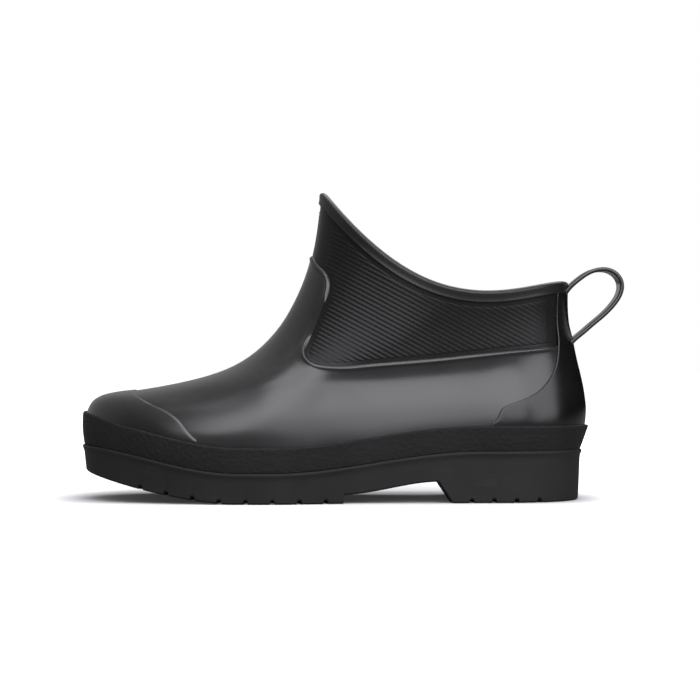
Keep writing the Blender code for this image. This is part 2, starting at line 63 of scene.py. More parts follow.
# Walls and sheets
WALL = 0.0020  # shaft of the upper
VAMP = 0.0010  # the vamp stands this much proud of the shaft
BEAD_END = 0.2740  # station where the bead along the vamp's edge has run out
BEAD_FADE = 0.0040
TAB_SIDE = (0.088, 0.117)  # heights between which the tab's side has a plain edge
TAB_SIDE_FADE = 0.006
SHEET = 0.0010  # toe cap and heel counter stand this much proud of the vamp
STAY_TOP = 0.0011  # back stay above the shaft, at the collar
SHEET_ROOT = 0.0004  # edges that lie on another piece go this deep into it
SHEET_SUNK = 0.0008  # toe cap and counter go this deep into what they lie on
COUNTER_BEVEL = 0.0008
COUNTER_BEVEL_STEPS = 4
COUNTER_BEVEL_ANGLE = math.radians(50)
SHEET_FOOT = 0.0020  # both reach this far below the top of the foxing
CAP_CORNER = 0.99  # share of the cap's edge that is kept, short of its corner
COUNTER_STEP_START = 0.01  # levels above the vamp's edge where the counter thins to the back stay
COUNTER_STEP_LENGTH = 0.11
COUNTER_TOP = 0.86  # top of the stay below the rim, as a share of the binding's width
CLOTH = 0.0004  # thickness of the lining
DIP_FADE = 3  # powers by which the dips of sole and collar fade over the levels
HOLLOW_FADE = 4

# Collar
COLLAR_DIP = 0.149
COLLAR_FRONT_POWER = 1.08
COLLAR_BACK_POWER = 1.30
BINDING = 0.0011  # the collar binding stands this much proud of the shaft
BINDING_OUTSIDE = 0.0054
BINDING_INSIDE = 0.0045
BINDING_INNER = 0.0031  # its inner face, inside the shaft's outside
BINDING_TURN = 0.0004  # below the rim, where its outside turns over
BINDING_CROWN = 0.0015  # height of the turn
BINDING_INNER_TOP = 0.0012  # below the rim, where its inner face starts

# Ribs of the ankle
RIB_PITCH = 0.00234
RIB_SLOPE = math.radians(28.2)  # they run down towards the heel
RIB_LOW = 0.1340  # lowest rib, as a distance square to the ribs from station and height nought
RIB_TOP = 0.2042  # highest rib in front
RIB_HIGH = 0.2300  # highest rib at the back
RIB_START = 0.0340  # distance along the ribs from station and height nought to where they start
RIB_STOP = 0.2000
RIB_BACK = 0.170  # station from which the ribs go higher than in front
RIB_BACK_FADE = 0.020
RIB_RISE = 0.00025
RIB_LIFT = 0.00005  # valleys between the ribs above the shaft
RIB_HIDE = 0.0003  # edges of the ribbed sheet below the shaft's surface
RIB_WALL = 0.0004
RIB_FLATTEN = 0.62  # share of the height lost towards the heel
RIB_FLATTEN_START = 0.150
RIB_FLATTEN_LENGTH = 0.060
# Distance from each line round the panel where the ribs start to rise, distance over which they rise
RIB_FADES = (
    (0.0004, 0.0016),  # vamp's edge
    (0.0066, 0.0020),  # rim
    (0.0050, 0.0050),  # front
    (0.0008, 0.0050),  # back stay
)

# Sole
SEAM_LOW = 0.0172
SEAM_TOE_RISE = 0.0143
SEAM_TOE_LENGTH = 0.092
SEAM_HEEL_RISE = 0.0116
SEAM_HEEL_START = 0.112
SEAM_HEEL_LENGTH = 0.113
FOXING_HEIGHT = 0.0142
FOXING_TOE_RISE = 0.0038
FOXING_TOE_LENGTH = 0.030
FOXING_GROOVE = 0.0010  # height of the slot between foxing and outsole
FOXING_SLOT = 0.0012  # back of that slot, as an offset from the last
TOE_SPRING = 0.0177
SPRING_LENGTH = 0.088
SPRING_POWER = 1.45
TREAD_END = 0.1500
ARCH_START = 0.0050
ARCH_END = 0.0120
BREAST_TOP = 0.2030
BREAST_FOOT = 0.2110
GROOVE_WIDTH = 0.0030
GROOVE_DEPTH = 0.0020
GROOVE_LENGTH = 0.0140
GROOVE_DRAFT = 0.0005
FORE_GROOVES = 8
FORE_GROOVE_FIRST = 0.0380
FORE_GROOVE_PITCH = 0.0146
HEEL_GROOVES = 4
HEEL_GROOVE_FIRST = 0.2215
HEEL_GROOVE_PITCH = 0.0125
SOLE_FOOT = 0.0010
SOLE_FOOT_SIDE = 0.0018
SOLE_FOOT_BEVEL = 0.0010
SOLE_SIDE_LEAST = 0.0050
INSOLE_MARGIN = 0.0006
SEAT = 0.0003  # clearance between pieces that lie on each other

# Hollow middle of the tread with its chevron bars
HOLLOW_DEPTH = 0.0012
HOLLOW_DRAFT = 0.0006
FORE_BARS = 15
FORE_BAR_FIRST = 0.0270
HEEL_BARS = 6
HEEL_BAR_FIRST = 0.2180
BAR_PITCH = 0.0080
BAR_HALF = 0.0021
BAR_BEVEL = 0.0004
BAR_SLANT = 0.45  # the arms run back by this share of their way outward
BAR_TURN = 0.0030  # roundness where the arms meet
BAR_MARGIN = 0.0010
BAR_STEPS = 24

# Pull loop
LOOP_WIDTH = 0.0190
LOOP_THICK = 0.0024
LOOP_ROUND = 0.0011  # radius of the strap's edges
LOOP_WRAP = 0.0024  # its edges reach this much further forward where it lies on the stay
LOOP_WRAP_SHARE = 0.16  # share of its length, at each end, that does so

# Mesh counts
HALF_COLUMNS = 120  # columns from the front of the upper to its back
VAMP_ROWS = 36
SHAFT_ROWS = 18
CAP_COLUMNS = 40
CAP_ROWS = 16
CAP_PLAIN = 0.8  # share of the cap below the finer rows along its edge
RIM_ROWS = 14
COUNTER_COLUMNS = 72
COUNTER_ROWS = 60
RIB_ROWS = 8  # rows of the ribbed sheet to a rib
RIB_STEP = 0.0014  # its columns
LOOP_STEPS = 96
ROUND_STEPS = 6
BINDING_STEPS = 9
FINE_STEPS = 400
HALVINGS = 40
SHIFT_STEP = 0.0007
SLOPE_STEP = 1e-4
COLUMN_GAP = 0.0012
MERGE = 1e-6

# Angles in degrees past which an edge is shaded sharp
SHEET_SHARP = 40
BAND_SHARP = 50
ROUND_SHARP = 60
TREAD_SHARP = 30

# Finishes
DUST_COLOUR = (0.30, 0.29, 0.28, 1.0)
RUBBED_TONE = 3.0  # rubbed streaks are this much lighter than the rubber
RUBBED_ROUGH = 0.25  # and this much rougher
CLOTH_ROUGH = 0.92
CLOTH_SHEEN = 0.25
CLOTH_BUMP = (0.7, 0.0005)

# Camera
CAMERA_PLACE = (-0.0014, -1.2, 0.0852)
PHOTO_WIDTH = 0.4018  # width of the frame at the boot's middle plane
SENSOR = 36.0

# Studio
STUDIO_TINT = (1.0, 0.985, 1.04)
LIGHT_TARGET = (0.0, 0.0, 0.06)
# Softboxes: name, place, width, height, power
SOFTBOXES = (
    ("front softbox, low", (0.06, -1.50, 0.46), 1.70, 0.50, 12.5),
    ("front softbox, middle", (0.10, -1.25, 0.87), 1.55, 0.48, 12.0),
    ("front softbox, high", (0.12, -0.99, 1.27), 1.35, 0.46, 8.0),
    ("top softbox", (0.10, 0.05, 1.40), 1.00, 0.80, 4.0),
    ("left softbox", (-0.18, -0.58, 1.42), 0.70, 0.50, 5.0),
    ("right softbox", (1.05, -0.80, 0.60), 0.80, 1.10, 11.0),
    ("back softbox", (0.50, 0.90, 1.30), 1.40, 0.90, 12.0),
)
# Surroundings: directions between which they change, and their strength in front and behind
LIT_LEFT = -0.10
DARK_RIGHT = 0.35
DIM_FRONT = -0.6
BRIGHT_BACK = 0.1
FRONT_STRENGTH = 0.08
BACK_STRENGTH = 0.50

# Floor
FLOOR_SIZE = 12.0
FLOOR_ROUGH = 0.9
FLOOR_PALE = 0.88
FLOOR_PAINTED_SHADE = 0.08
# Painted reflection: the floor is a darker grey for every ray but the camera's, so the boot mirrors a dim floor
FLOOR_PAINTED_REFLECTION = 0.22  # as the boot mirrors it
# Painted contact shadow: ambient occlusion round the sole darkens the floor's colour and glow, on top of the
# shadows the lamps cast
CONTACT_REACH = 0.040  # of the soft shadow round the sole
CONTACT_POWER = 2.3
CONTACT_LEAST = 0.22
CONTACT_FRONT = -0.062  # the shadow fades out between these places towards the front
CONTACT_FULL = -0.030
# Painted light: the floor glows, faintly near the boot and nearly white further away, and only where the camera
# sees it
GLOW_START = 0.15  # distances from the boot between which the floor turns white
GLOW_END = 0.60
GLOW_NEAR = 0.14
GLOW_FAR = 0.95

SECTION_COLUMNS = (
    "front_station", "front_height", "back_station", "back_height",
    "nose", "nose_power", "seat", "ball", "waist", "heel",
)
SECTIONS = (
    (0.0042, 0.0317, 0.2826, 0.0291, 0.082, 2.25, 0.046, 0.0496, 0.0390, 0.0352),  # feather line
    (0.0038, 0.0440, 0.2860, 0.0410, 0.085, 2.25, 0.047, 0.0512, 0.0402, 0.0371),  # toe front
    (0.0074, 0.0545, 0.2870, 0.0500, 0.099, 2.15, 0.048, 0.0508, 0.0395, 0.0367),  # toe shoulder
    (0.0195, 0.0592, 0.2867, 0.0560, 0.099, 2.05, 0.050, 0.0500, 0.0387, 0.0359),  # toe top
    (0.0390, 0.0623, 0.2856, 0.0635, 0.090, 2.00, 0.052, 0.0489, 0.0375, 0.0346),  # behind the toe cap
    (0.0672, 0.0681, 0.2836, 0.0725, 0.069, 2.00, 0.054, 0.0472, 0.0361, 0.0332),  # ball
    (0.0876, 0.0753, 0.2819, 0.0795, 0.059, 2.00, 0.056, 0.0456, 0.0356, 0.0327),  # vamp
    (0.1064, 0.0890, 0.2799, 0.0895, 0.063, 2.00, 0.058, 0.0442, 0.0361, 0.0329),  # instep
    (0.1205, 0.1082, 0.2782, 0.1010, 0.071, 2.00, 0.060, 0.0432, 0.0369, 0.0334),  # bend
    (0.1322, 0.1375, 0.2775, 0.1130, 0.077, 2.00, 0.061, 0.0427, 0.0386, 0.0347),  # shin
    (0.1374, 0.1742, 0.2778, 0.1230, 0.080, 2.00, 0.062, 0.0424, 0.0412, 0.0368),  # collar
)

# Lines drawn on the side of the upper, from front to back: station, height
VAMP_LINE = (
    (0.1323, 0.1392),  # top of the instep tab, in front
    (0.1357, 0.1339),
    (0.1420, 0.1262),  # shoulder of the tab
    (0.1424, 0.1190),
    (0.1390, 0.1091),  # tab's side
    (0.1328, 0.0934),
    (0.1296, 0.0838),  # corner
    (0.1322, 0.0789),
    (0.1400, 0.0768),
    (0.1640, 0.0778),
    (0.2040, 0.0812),  # under the ankle
    (0.2500, 0.0860),
    (0.2802, 0.0885),  # behind the heel
)
TAB_STOPS = 7  # stops of the vamp's line from the tab's top to the corner
TOE_CAP_LINE = (
    (0.0293, 0.0611),  # on the ridge
    (0.0350, 0.0580),
    (0.0430, 0.0545),
    (0.0540, 0.0500),
    (0.0600, 0.0455),
    (0.0655, 0.0390),
    (0.0700, 0.0350),  # at the foxing
)
COUNTER_LINE = (
    (0.2310, 0.0436),  # at the foxing
    (0.2358, 0.0475),
    (0.2375, 0.0515),
    (0.2460, 0.0560),
    (0.2600, 0.0630),
    (0.2660, 0.0700),
    (0.2696, 0.0800),
    (0.2704, 0.0920),
    (0.2704, 0.1148),  # at the collar binding
)
LOOP_LINE = (
    (0.2777, 0.1158),  # upper end, in the back stay
    (0.2803, 0.1206),
    (0.2843, 0.1252),
    (0.2902, 0.1293),
    (0.2972, 0.1313),
    (0.3042, 0.1297),
    (0.3085, 0.1243),
    (0.3082, 0.1178),
    (0.3045, 0.1115),
    (0.2985, 0.1052),
    (0.2917, 0.0995),
    (0.2861, 0.0944),
    (0.2822, 0.0900),
    (0.2798, 0.0862),  # lower end, in the back stay
)

# Bead along the vamp's edge: distance below the edge, rise above the vamp
BEAD_PROFILE = (
    (0.0038, 0.00000),
    (0.0033, 0.00006),
    (0.0029, 0.00026),
    (0.0025, 0.00052),
    (0.0020, 0.00068),
    (0.0015, 0.00062),
    (0.0010, 0.00036),
    (0.0006, 0.00000),
    (0.0003, -0.00036),
    (0.0001, -0.00070),
)

# Outside of the collar binding: distance above its lower edge, share of its thickness
BINDING_PROFILE = (
    (0.0000, 0.50),
    (0.0001, 0.88),
    (0.0003, 1.06),  # thin bead along the lower edge
    (0.0006, 1.12),
    (0.0010, 1.06),
    (0.0014, 0.97),
    (0.0026, 0.92),  # hollow band
    (0.0036, 0.95),
    (0.0042, 1.00),  # foot of the rim
)

# Outside of the foxing: share of its height, offset from the last
FOXING_PROFILE = (
    (0.00, 0.0026),
    (0.03, 0.0028),
    (0.15, 0.0030),
    (0.40, 0.0032),
    (0.60, 0.0034),
    (0.78, 0.0036),
    (0.90, 0.0039),  # flared top
    (0.95, 0.0040),
    (0.98, 0.0039),
    (1.00, 0.0036),
)

# Edge of the insole: inset, height
INSOLE_PROFILE = ((0.0, 0.0), (0.0, 0.0020), (0.0003, 0.0026), (0.0010, 0.0030))

# Lip of the outsole: depth below the seam, offset from the last
SOLE_LIP_PROFILE = (
    (0.0000, 0.0030),
    (0.0001, 0.0034),
    (0.0004, 0.0037),
    (0.0008, 0.0038),
    (0.0014, 0.0038),
    (0.0021, 0.0035),
    (0.0030, 0.0031),
    (0.0050, 0.0028),
)

# Soft flare of the vamp towards its bead
FLARE = 0.0008
FLARE_START = 0.0030  # below the edge
FLARE_LENGTH = 0.0150
FLARE_POWER = 2.6
FLARE_TOP = 0.084  # height from which it fades, up the side of the tab
FLARE_FADE = 0.018
FLARE_BACK = 0.235  # station from which it fades towards the heel
FLARE_BACK_FADE = 0.050

# Vamp and toe cap drawn in above the foxing, beside the toes
TUCK = 0.0012
TUCK_HEIGHT = 0.0100
TUCK_START = 0.020
TUCK_START_FADE = 0.030
TUCK_END = 0.095
TUCK_END_FADE = 0.035

# Edge of the toe cap: distance from the edge, rise above the vamp
CAP_EDGE_PROFILE = (
    (0.0000, 0.0001),
    (0.0012, 0.0006),  # chamfer
    (0.0090, 0.0010),
)

# Soft troughs of the vamp: start and end as station and height, depth, half width
CREASES = (
    ((0.124, 0.096), (0.140, 0.062), 0.0005, 0.0090),  # ahead of the panel's corner
)


def smooth(x):
    """Eases from 0 to 1, flat at both ends."""
    x = np.clip(x, 0.0, 1.0)
    return x * x * (3 - 2 * x)


def unit(vectors):
    return vectors / np.linalg.norm(vectors, axis=-1, keepdims=True)


def lengths_along(points):
    """Length from the first point to each point of a line."""
    steps = np.linalg.norm(np.diff(points, axis=0), axis=1)
    return np.concatenate(([0.0], np.cumsum(steps)))


def spline(knots, values):
    """Natural cubic spline through rows of values, as a function of the knot."""
    knots = np.asarray(knots, float)
    values = np.asarray(values, float)
    gaps = np.diff(knots)
    slopes = np.diff(values, axis=0) / gaps[:, None]
    system = np.eye(len(knots))
    right = np.zeros_like(values)
    for i in range(1, len(knots) - 1):
        system[i, i - 1 : i + 2] = gaps[i - 1], 2 * (gaps[i - 1] + gaps[i]), gaps[i]
        right[i] = 6 * (slopes[i] - slopes[i - 1])
    bends = np.linalg.solve(system, right)

    def at(x):
        x = np.atleast_1d(np.asarray(x, float))
        i = np.clip(np.searchsorted(knots, x, side="right") - 1, 0, len(knots) - 2)
        gap = gaps[i][:, None]
        after = (x - knots[i])[:, None]
        before = gap - after
        curved = (bends[i] * before**3 + bends[i + 1] * after**3) / (6 * gap)
        near = (values[i] / gap - bends[i] * gap / 6) * before
        far = (values[i + 1] / gap - bends[i + 1] * gap / 6) * after
        return curved + near + far

    return at


SECTION_TABLE = np.array(SECTIONS)
SECTION_LEVELS = lengths_along(SECTION_TABLE[:, :2])
SECTION_LEVELS = SECTION_LEVELS / SECTION_LEVELS[-1]
SECTION_AT = spline(SECTION_LEVELS, SECTION_TABLE)


def section(level):
    """Named sizes of the ring at a level: 0 at the feather line, 1 at the collar."""
    return dict(zip(SECTION_COLUMNS, SECTION_AT(level).T))


def seam_height(station):
    """Top of the outsole, where the foxing meets it."""
    toe = SEAM_TOE_RISE * (1 - smooth(station / SEAM_TOE_LENGTH))
    heel = SEAM_HEEL_RISE * smooth((station - SEAM_HEEL_START) / SEAM_HEEL_LENGTH)
    return SEAM_LOW + toe + heel


def foxing_top(station):
    toe = FOXING_TOE_RISE * (1 - smooth(station / FOXING_TOE_LENGTH))
    return seam_height(station) + FOXING_HEIGHT + toe


def tread_height(station):
    """Underside of the sole above the floor, without its grooves."""
    spring = TOE_SPRING * np.clip(1 - station / SPRING_LENGTH, 0, 1) ** SPRING_POWER
    along = (station - TREAD_END) / (BREAST_TOP - TREAD_END)
    arch = ARCH_START + (ARCH_END - ARCH_START) * smooth(along)
    breast = ARCH_END * np.clip((BREAST_FOOT - station) / (BREAST_FOOT - BREAST_TOP), 0, 1)
    inside = (station > TREAD_END) & (station < BREAST_FOOT)
    return np.where(inside, np.minimum(arch, breast), spring)


def ring_height(share, level, row):
    """Height of a ring at a share of its way from front to back."""
    base = section(np.zeros(1))
    base_station = base["front_station"] + (base["back_station"] - base["front_station"]) * share
    base_chord = base["front_height"] + (base["back_height"] - base["front_height"]) * share
    sole_dip = seam_height(base_station) + SEAT - base_chord
    collar_dip = -COLLAR_DIP * share**COLLAR_FRONT_POWER * (1 - share) ** COLLAR_BACK_POWER
    chord = row["front_height"] + (row["back_height"] - row["front_height"]) * share
    return chord + (1 - level) ** DIP_FADE * sole_dip + level**DIP_FADE * collar_dip


def last(angle, level):
    """Point of the shaft's outside: angle 0 in front, then round by the outer side; level 0 to 1 upward."""
    angle, level = np.broadcast_arrays(np.asarray(angle, float), np.asarray(level, float))
    shape = angle.shape
    angle = angle.ravel()
    level = level.ravel()
    row = section(level)
    outer = np.sin(angle) >= 0
    share = (1 - np.cos(angle)) / 2
    depth = row["back_station"] - row["front_station"]
    station = row["front_station"] + depth * share
    ball = BALL_STATION + np.where(outer, BALL_SKEW, -BALL_SKEW)
    to_waist = smooth((station - ball) / (WAIST_STATION - ball))
    to_heel = smooth((station - WAIST_STATION) / (HEEL_STATION - WAIST_STATION))
    width = row["ball"] + (row["waist"] - row["ball"]) * to_waist + (row["heel"] - row["waist"]) * to_heel
    hollow = WAIST_HOLLOW * (1 - level) ** HOLLOW_FADE * to_waist * (1 - to_heel)
    width = width - np.where(outer, 0, hollow)
    nose = 1 - np.clip(depth * share / row["nose"], 0, 1)
    seat = 1 - np.clip(depth * (1 - share) / row["seat"], 0, 1)
    power = row["nose_power"]
    width = width * np.clip(1 - nose**power, 0, 1) ** (1 / power) * np.sqrt(np.clip(1 - seat**2, 0, 1))
    swing = TOE_SWING * smooth(1 - station / SWING_LENGTH) + SIDE_SHIFT
    height = ring_height(share, level, row)
    across = np.where(outer, -width, width) + swing
    return np.stack((station - ORIGIN_STATION, across, height), axis=-1).reshape(*shape, 3)


def slopes_of(angle, level):
    """Change of the surface point with angle and with level."""
    step = SLOPE_STEP
    by_angle = (last(angle + step, level) - last(angle - step, level)) / (2 * step)
    by_level = (last(angle, level + step) - last(angle, level - step)) / (2 * step)
    return by_angle, by_level


def outward(angle, level):
    by_angle, by_level = slopes_of(angle, level)
    return unit(np.cross(by_angle, by_level))


def plan_outward(angle):
    """Level direction away from the foot at the feather line."""
    return unit(outward(angle, np.zeros_like(angle)) * (1, 1, 0))


def laid(angle, level, offset):
    """Point at an offset outside the shaft's outer surface."""
    offset = np.broadcast_to(np.asarray(offset, float), np.shape(angle))
    return last(angle, level) + outward(angle, level) * offset[..., None]


def side_view(angle, level):
    """Stations and heights of points."""
    return last(angle, level)[..., (0, 2)] + (ORIGIN_STATION, 0)


def locate(station, height):
    """Angle and level of points of the outer side, from their stations and heights."""
    station = np.atleast_1d(np.asarray(station, float))
    low = np.zeros_like(station)
    high = np.ones_like(station)
    for _ in range(HALVINGS):
        level = (low + high) / 2
        row = section(level)
        depth = row["back_station"] - row["front_station"]
        share = np.clip((station - row["front_station"]) / depth, 0, 1)
        below = ring_height(share, level, row) < height
        low = np.where(below, level, low)
        high = np.where(below, high, level)
    return np.arccos(1 - 2 * share), level


def course(stops, count, front=False, back=False):
    """Angles and levels at equal steps along a line through stops.

    A line that ends in front or at the back crosses the boot's middle squarely there.
    """
    stops = np.array(stops)
    path = [tuple(stop) for stop in np.stack(locate(stops[:, 0], stops[:, 1]), axis=-1)]
    if front:
        path[0] = (0.0, path[0][1])
        path.insert(0, (-path[1][0], path[1][1]))
    if back:
        path[-1] = (math.pi, path[-1][1])
        path.append((2 * math.pi - path[-2][0], path[-2][1]))
    path = np.array(path)
    knots = lengths_along(last(path[:, 0], path[:, 1]))
    at = spline(knots, path)
    start = knots[1] if front else knots[0]
    end = knots[-2] if back else knots[-1]
    fine = at(np.linspace(start, end, FINE_STEPS))
    run = lengths_along(last(fine[:, 0], fine[:, 1]))
    even = np.linspace(0, run[-1], count + 1)
    return np.interp(even, run, fine[:, 0]), np.interp(even, run, fine[:, 1])


def all_round(angle, level):
    """Adds the inner side to a line that runs from the front to the back of the outer side."""
    angle = np.concatenate((angle, 2 * math.pi - angle[-2:0:-1]))
    return angle, np.concatenate((level, level[-2:0:-1]))


def both_sides(angle, level):
    """Line over both sides, from one that starts in front and runs back along the outer side."""
    return np.concatenate((-angle[:0:-1], angle)), np.concatenate((level[:0:-1], level))


def square_up(angle, level):
    """Direction up the surface, square to the run of a closed line."""
    points = last(angle, level)
    run = np.roll(points, -1, axis=0) - np.roll(points, 1, axis=0)
    return unit(np.cross(outward(angle, level), run))


def shifted(angle, level, distance):
    """A closed line moved up the surface by a distance, square to its own run, in short steps."""
    steps = max(1, math.ceil(abs(distance) / SHIFT_STEP))
    for _ in range(steps):
        by_angle, by_level = slopes_of(angle, level)
        up = square_up(angle, level) * distance / steps
        planes = np.stack((by_angle, by_level), axis=-1)
        moved = np.linalg.pinv(planes) @ up[..., None]
        angle = angle + moved[:, 0, 0]
        level = level + moved[:, 1, 0]
    return angle, level


def level_at(angle, height_of):
    """Level where each angle's column reaches a height that depends on its station."""
    low = np.zeros_like(angle)
    high = np.ones_like(angle)
    for _ in range(HALVINGS):
        middle = (low + high) / 2
        station, height = side_view(angle, middle).T
        below = height < height_of(station)
        low = np.where(below, middle, low)
        high = np.where(below, high, middle)
    return low


def feather_line():
    angle = np.linspace(0, 2 * math.pi, 2 * HALF_COLUMNS, endpoint=False)
    return angle, np.zeros_like(angle)


def vamp_edge():
    return all_round(*course(VAMP_LINE, HALF_COLUMNS, front=True, back=True))


def collar_edge():
    """Angles at equal steps round the collar."""
    fine = np.linspace(0, math.pi, FINE_STEPS)
    run = lengths_along(last(fine, np.ones_like(fine)))
    angle = np.interp(np.linspace(0, run[-1], HALF_COLUMNS + 1), run, fine)
    return all_round(angle, np.ones_like(angle))


def blend(start, end, share):
    """Line partway between two lines of angles and levels."""
    return tuple(a + (b - a) * share for a, b in zip(start, end))


def deselect():
    if bpy.context.object and bpy.context.object.mode != "OBJECT":
        bpy.ops.object.mode_set(mode="OBJECT")
    bpy.ops.object.select_all(action="DESELECT")


def pick(piece):
    deselect()
    piece.select_set(True)
    bpy.context.view_layer.objects.active = piece


def edit_whole(piece, operator, **settings):
    """Runs an edit-mode operator on all of a piece."""
    pick(piece)
    bpy.ops.object.mode_set(mode="EDIT")
    bpy.ops.mesh.select_all(action="SELECT")
    operator(**settings)
    bpy.ops.object.mode_set(mode="OBJECT")


def turn_outward(piece):
    edit_whole(piece, bpy.ops.mesh.normals_make_consistent, inside=False)


def sheet(name, rows, closed_round=False, closed_rows=False, keep=None):
    """Grid laid on rows of points.

    It may close on itself along its rows or from the last row to the first, and points not kept are cut away.
    """
    rows = np.asarray(rows)
    if closed_round:
        rows = np.concatenate((rows, rows[:, :1]), axis=1)
    if closed_rows:
        rows = np.concatenate((rows, rows[:1]), axis=0)
    across = rows.shape[1] - 1
    up = rows.shape[0] - 1
    deselect()
    bpy.ops.mesh.primitive_grid_add(x_subdivisions=across, y_subdivisions=up, size=2.0)
    piece = bpy.context.object
    piece.name = name
    piece.data.name = name
    flat = np.empty(3 * len(piece.data.vertices))
    piece.data.vertices.foreach_get("co", flat)
    flat = (flat.reshape(-1, 3) + 1) / 2
    column = np.rint(flat[:, 0] * across).astype(int)
    row = np.rint(flat[:, 1] * up).astype(int)
    piece.data.vertices.foreach_set("co", rows[row, column].ravel())
    piece.data.update()
    if closed_round or closed_rows:
        edit_whole(piece, bpy.ops.mesh.remove_doubles, threshold=MERGE)
    if keep is not None:
        mesh = bmesh.new()
        mesh.from_mesh(piece.data)
        kept = keep[row, column]
        spare = [vertex for vertex in mesh.verts if not kept[vertex.index]]
        bmesh.ops.delete(mesh, geom=spare, context="VERTS")
        mesh.to_mesh(piece.data)
        mesh.free()
    return piece


def finish_with(piece, kind, **settings):
    """Adds a modifier and applies it."""
    pick(piece)
    bpy.ops.object.modifier_add(type=kind)
    modifier = piece.modifiers[-1]
    for name, value in settings.items():
        setattr(modifier, name, value)
    bpy.ops.object.modifier_apply(modifier=modifier.name)
    return piece


def smooth_shade(piece, degrees=SHEET_SHARP):
    pick(piece)
    bpy.ops.object.shade_smooth_by_angle(angle=math.radians(degrees))
    return piece


def thicken(piece, thickness):
    """Gives a sheet its wall, inwards."""
    return finish_with(piece, "SOLIDIFY", thickness=thickness, offset=-1.0)


def close_ends(piece):
    """Fills the open ends of a strip with faces."""
    pick(piece)
    bpy.ops.object.mode_set(mode="EDIT")
    bpy.ops.mesh.select_all(action="DESELECT")
    bpy.ops.mesh.select_mode(type="EDGE")
    bpy.ops.mesh.select_non_manifold(extend=False, use_boundary=True)
    bpy.ops.mesh.edge_face_add()
    bpy.ops.object.mode_set(mode="OBJECT")


def lay_rungs(piece, ring):
    """Closes a ring of points that starts at its front with rungs from side to side."""
    mesh = bmesh.new()
    mesh.from_mesh(piece.data)
    mesh.verts.ensure_lookup_table()
    spots = KDTree(len(mesh.verts))
    for vertex in mesh.verts:
        spots.insert(vertex.co, vertex.index)
    spots.balance()
    ring = [mesh.verts[spots.find(point)[1]] for point in ring]
    half = len(ring) // 2
    mesh.faces.new((ring[0], ring[1], ring[-1]))
    for i in range(1, half - 1):
        mesh.faces.new((ring[i], ring[i + 1], ring[-i - 1], ring[-i]))
    mesh.faces.new((ring[half - 1], ring[half], ring[half + 1]))
    mesh.to_mesh(piece.data)
    mesh.free()


def closed_body(name, rings, degrees):
    """Closed form through rings of points, with rungs over the first and the last."""
    piece = sheet(name, rings, closed_round=True)
    lay_rungs(piece, rings[0])
    lay_rungs(piece, rings[-1])
    turn_outward(piece)
    return smooth_shade(piece, degrees)


def tucked(angle, level):
    """How far the vamp is drawn in above the foxing."""
    flat = side_view(angle, level)
    station = flat[..., 0]
    above = np.clip((flat[..., 1] - foxing_top(station)) / TUCK_HEIGHT, 0, 1)
    beside_toes = smooth((station - TUCK_START) / TUCK_START_FADE)
    beside_toes = beside_toes * (1 - smooth((station - TUCK_END) / TUCK_END_FADE))
    return TUCK * (1 - above) ** 2 * beside_toes


def creased(angle, level, offset):
    """Point of the vamp with its soft troughs."""
    flat = side_view(angle, level)
    depth = np.zeros(flat.shape[:-1])
    for start, end, deep, wide in CREASES:
        start = np.array(start)
        way = np.array(end) - start
        along = np.clip(((flat - start) @ way) / (way @ way), 0, 1)
        away = np.linalg.norm(flat - start - along[..., None] * way, axis=-1)
        depth = depth + deep * np.exp(-((away / wide) ** 2))
    return laid(angle, level, offset - depth - tucked(angle, level))


def make_vamp():
    feather = feather_line()
    edge = vamp_edge()
    station, height = side_view(*edge).T
    bead = 1 - smooth((station - BEAD_END + BEAD_FADE) / BEAD_FADE)
    beside = smooth((height - TAB_SIDE[0]) / TAB_SIDE_FADE) * smooth((TAB_SIDE[1] - height) / TAB_SIDE_FADE)
    bead = bead * (1 - beside)
    flare = FLARE * (1 - smooth((height - FLARE_TOP) / FLARE_FADE))
    flare = flare * (1 - smooth((station - FLARE_BACK) / FLARE_BACK_FADE))
    foot = shifted(*edge, -BEAD_PROFILE[0][0])
    lines = [blend(feather, foot, i / VAMP_ROWS) for i in range(VAMP_ROWS)]
    heights = [0.0] * VAMP_ROWS
    for down, rise in BEAD_PROFILE:
        lines.append(shifted(*edge, -down))
        heights.append(rise * bead)
    rows = []
    for line, rise in zip(lines, heights):
        below = np.linalg.norm(last(*line) - last(*edge), axis=-1)
        near = 1 - np.clip((below - FLARE_START) / FLARE_LENGTH, 0, 1)
        rows.append(creased(*line, VAMP + rise + flare * near**FLARE_POWER))
    rows.append(laid(*edge, -SHEET_ROOT))
    piece = sheet("upper_vamp", rows, closed_round=True)
    thicken(piece, VAMP + WALL / 2)
    return smooth_shade(piece)


def wall_between(name, low, high, steps, offset, thickness):
    """Wall from one closed line up to another, at an offset from the last."""
    lines = [blend(low, high, i / steps) for i in range(steps + 1)]
    piece = sheet(name, [laid(*line, offset) for line in lines], closed_round=True)
    thicken(piece, thickness)
    return smooth_shade(piece)


def make_shaft():
    return wall_between("upper_shaft", vamp_edge(), collar_edge(), SHAFT_ROWS, 0, WALL)


def away_from(points, line):
    """Distance of each point from a line of points."""
    return np.min(np.linalg.norm(points[:, None] - line[None], axis=-1), axis=1)


def panel_lines():
    """Lines round the ankle panel in the side view: the vamp's edge, the rim, the front and the stay."""
    fine = np.linspace(0, math.pi, FINE_STEPS)
    edge = side_view(*course(VAMP_LINE, FINE_STEPS, front=True, back=True))
    rim = side_view(fine, np.ones_like(fine))
    front = side_view(np.zeros_like(fine), np.linspace(0, 1, FINE_STEPS))
    stay = side_view(*course(COUNTER_LINE, FINE_STEPS))
    return edge, rim, front, stay


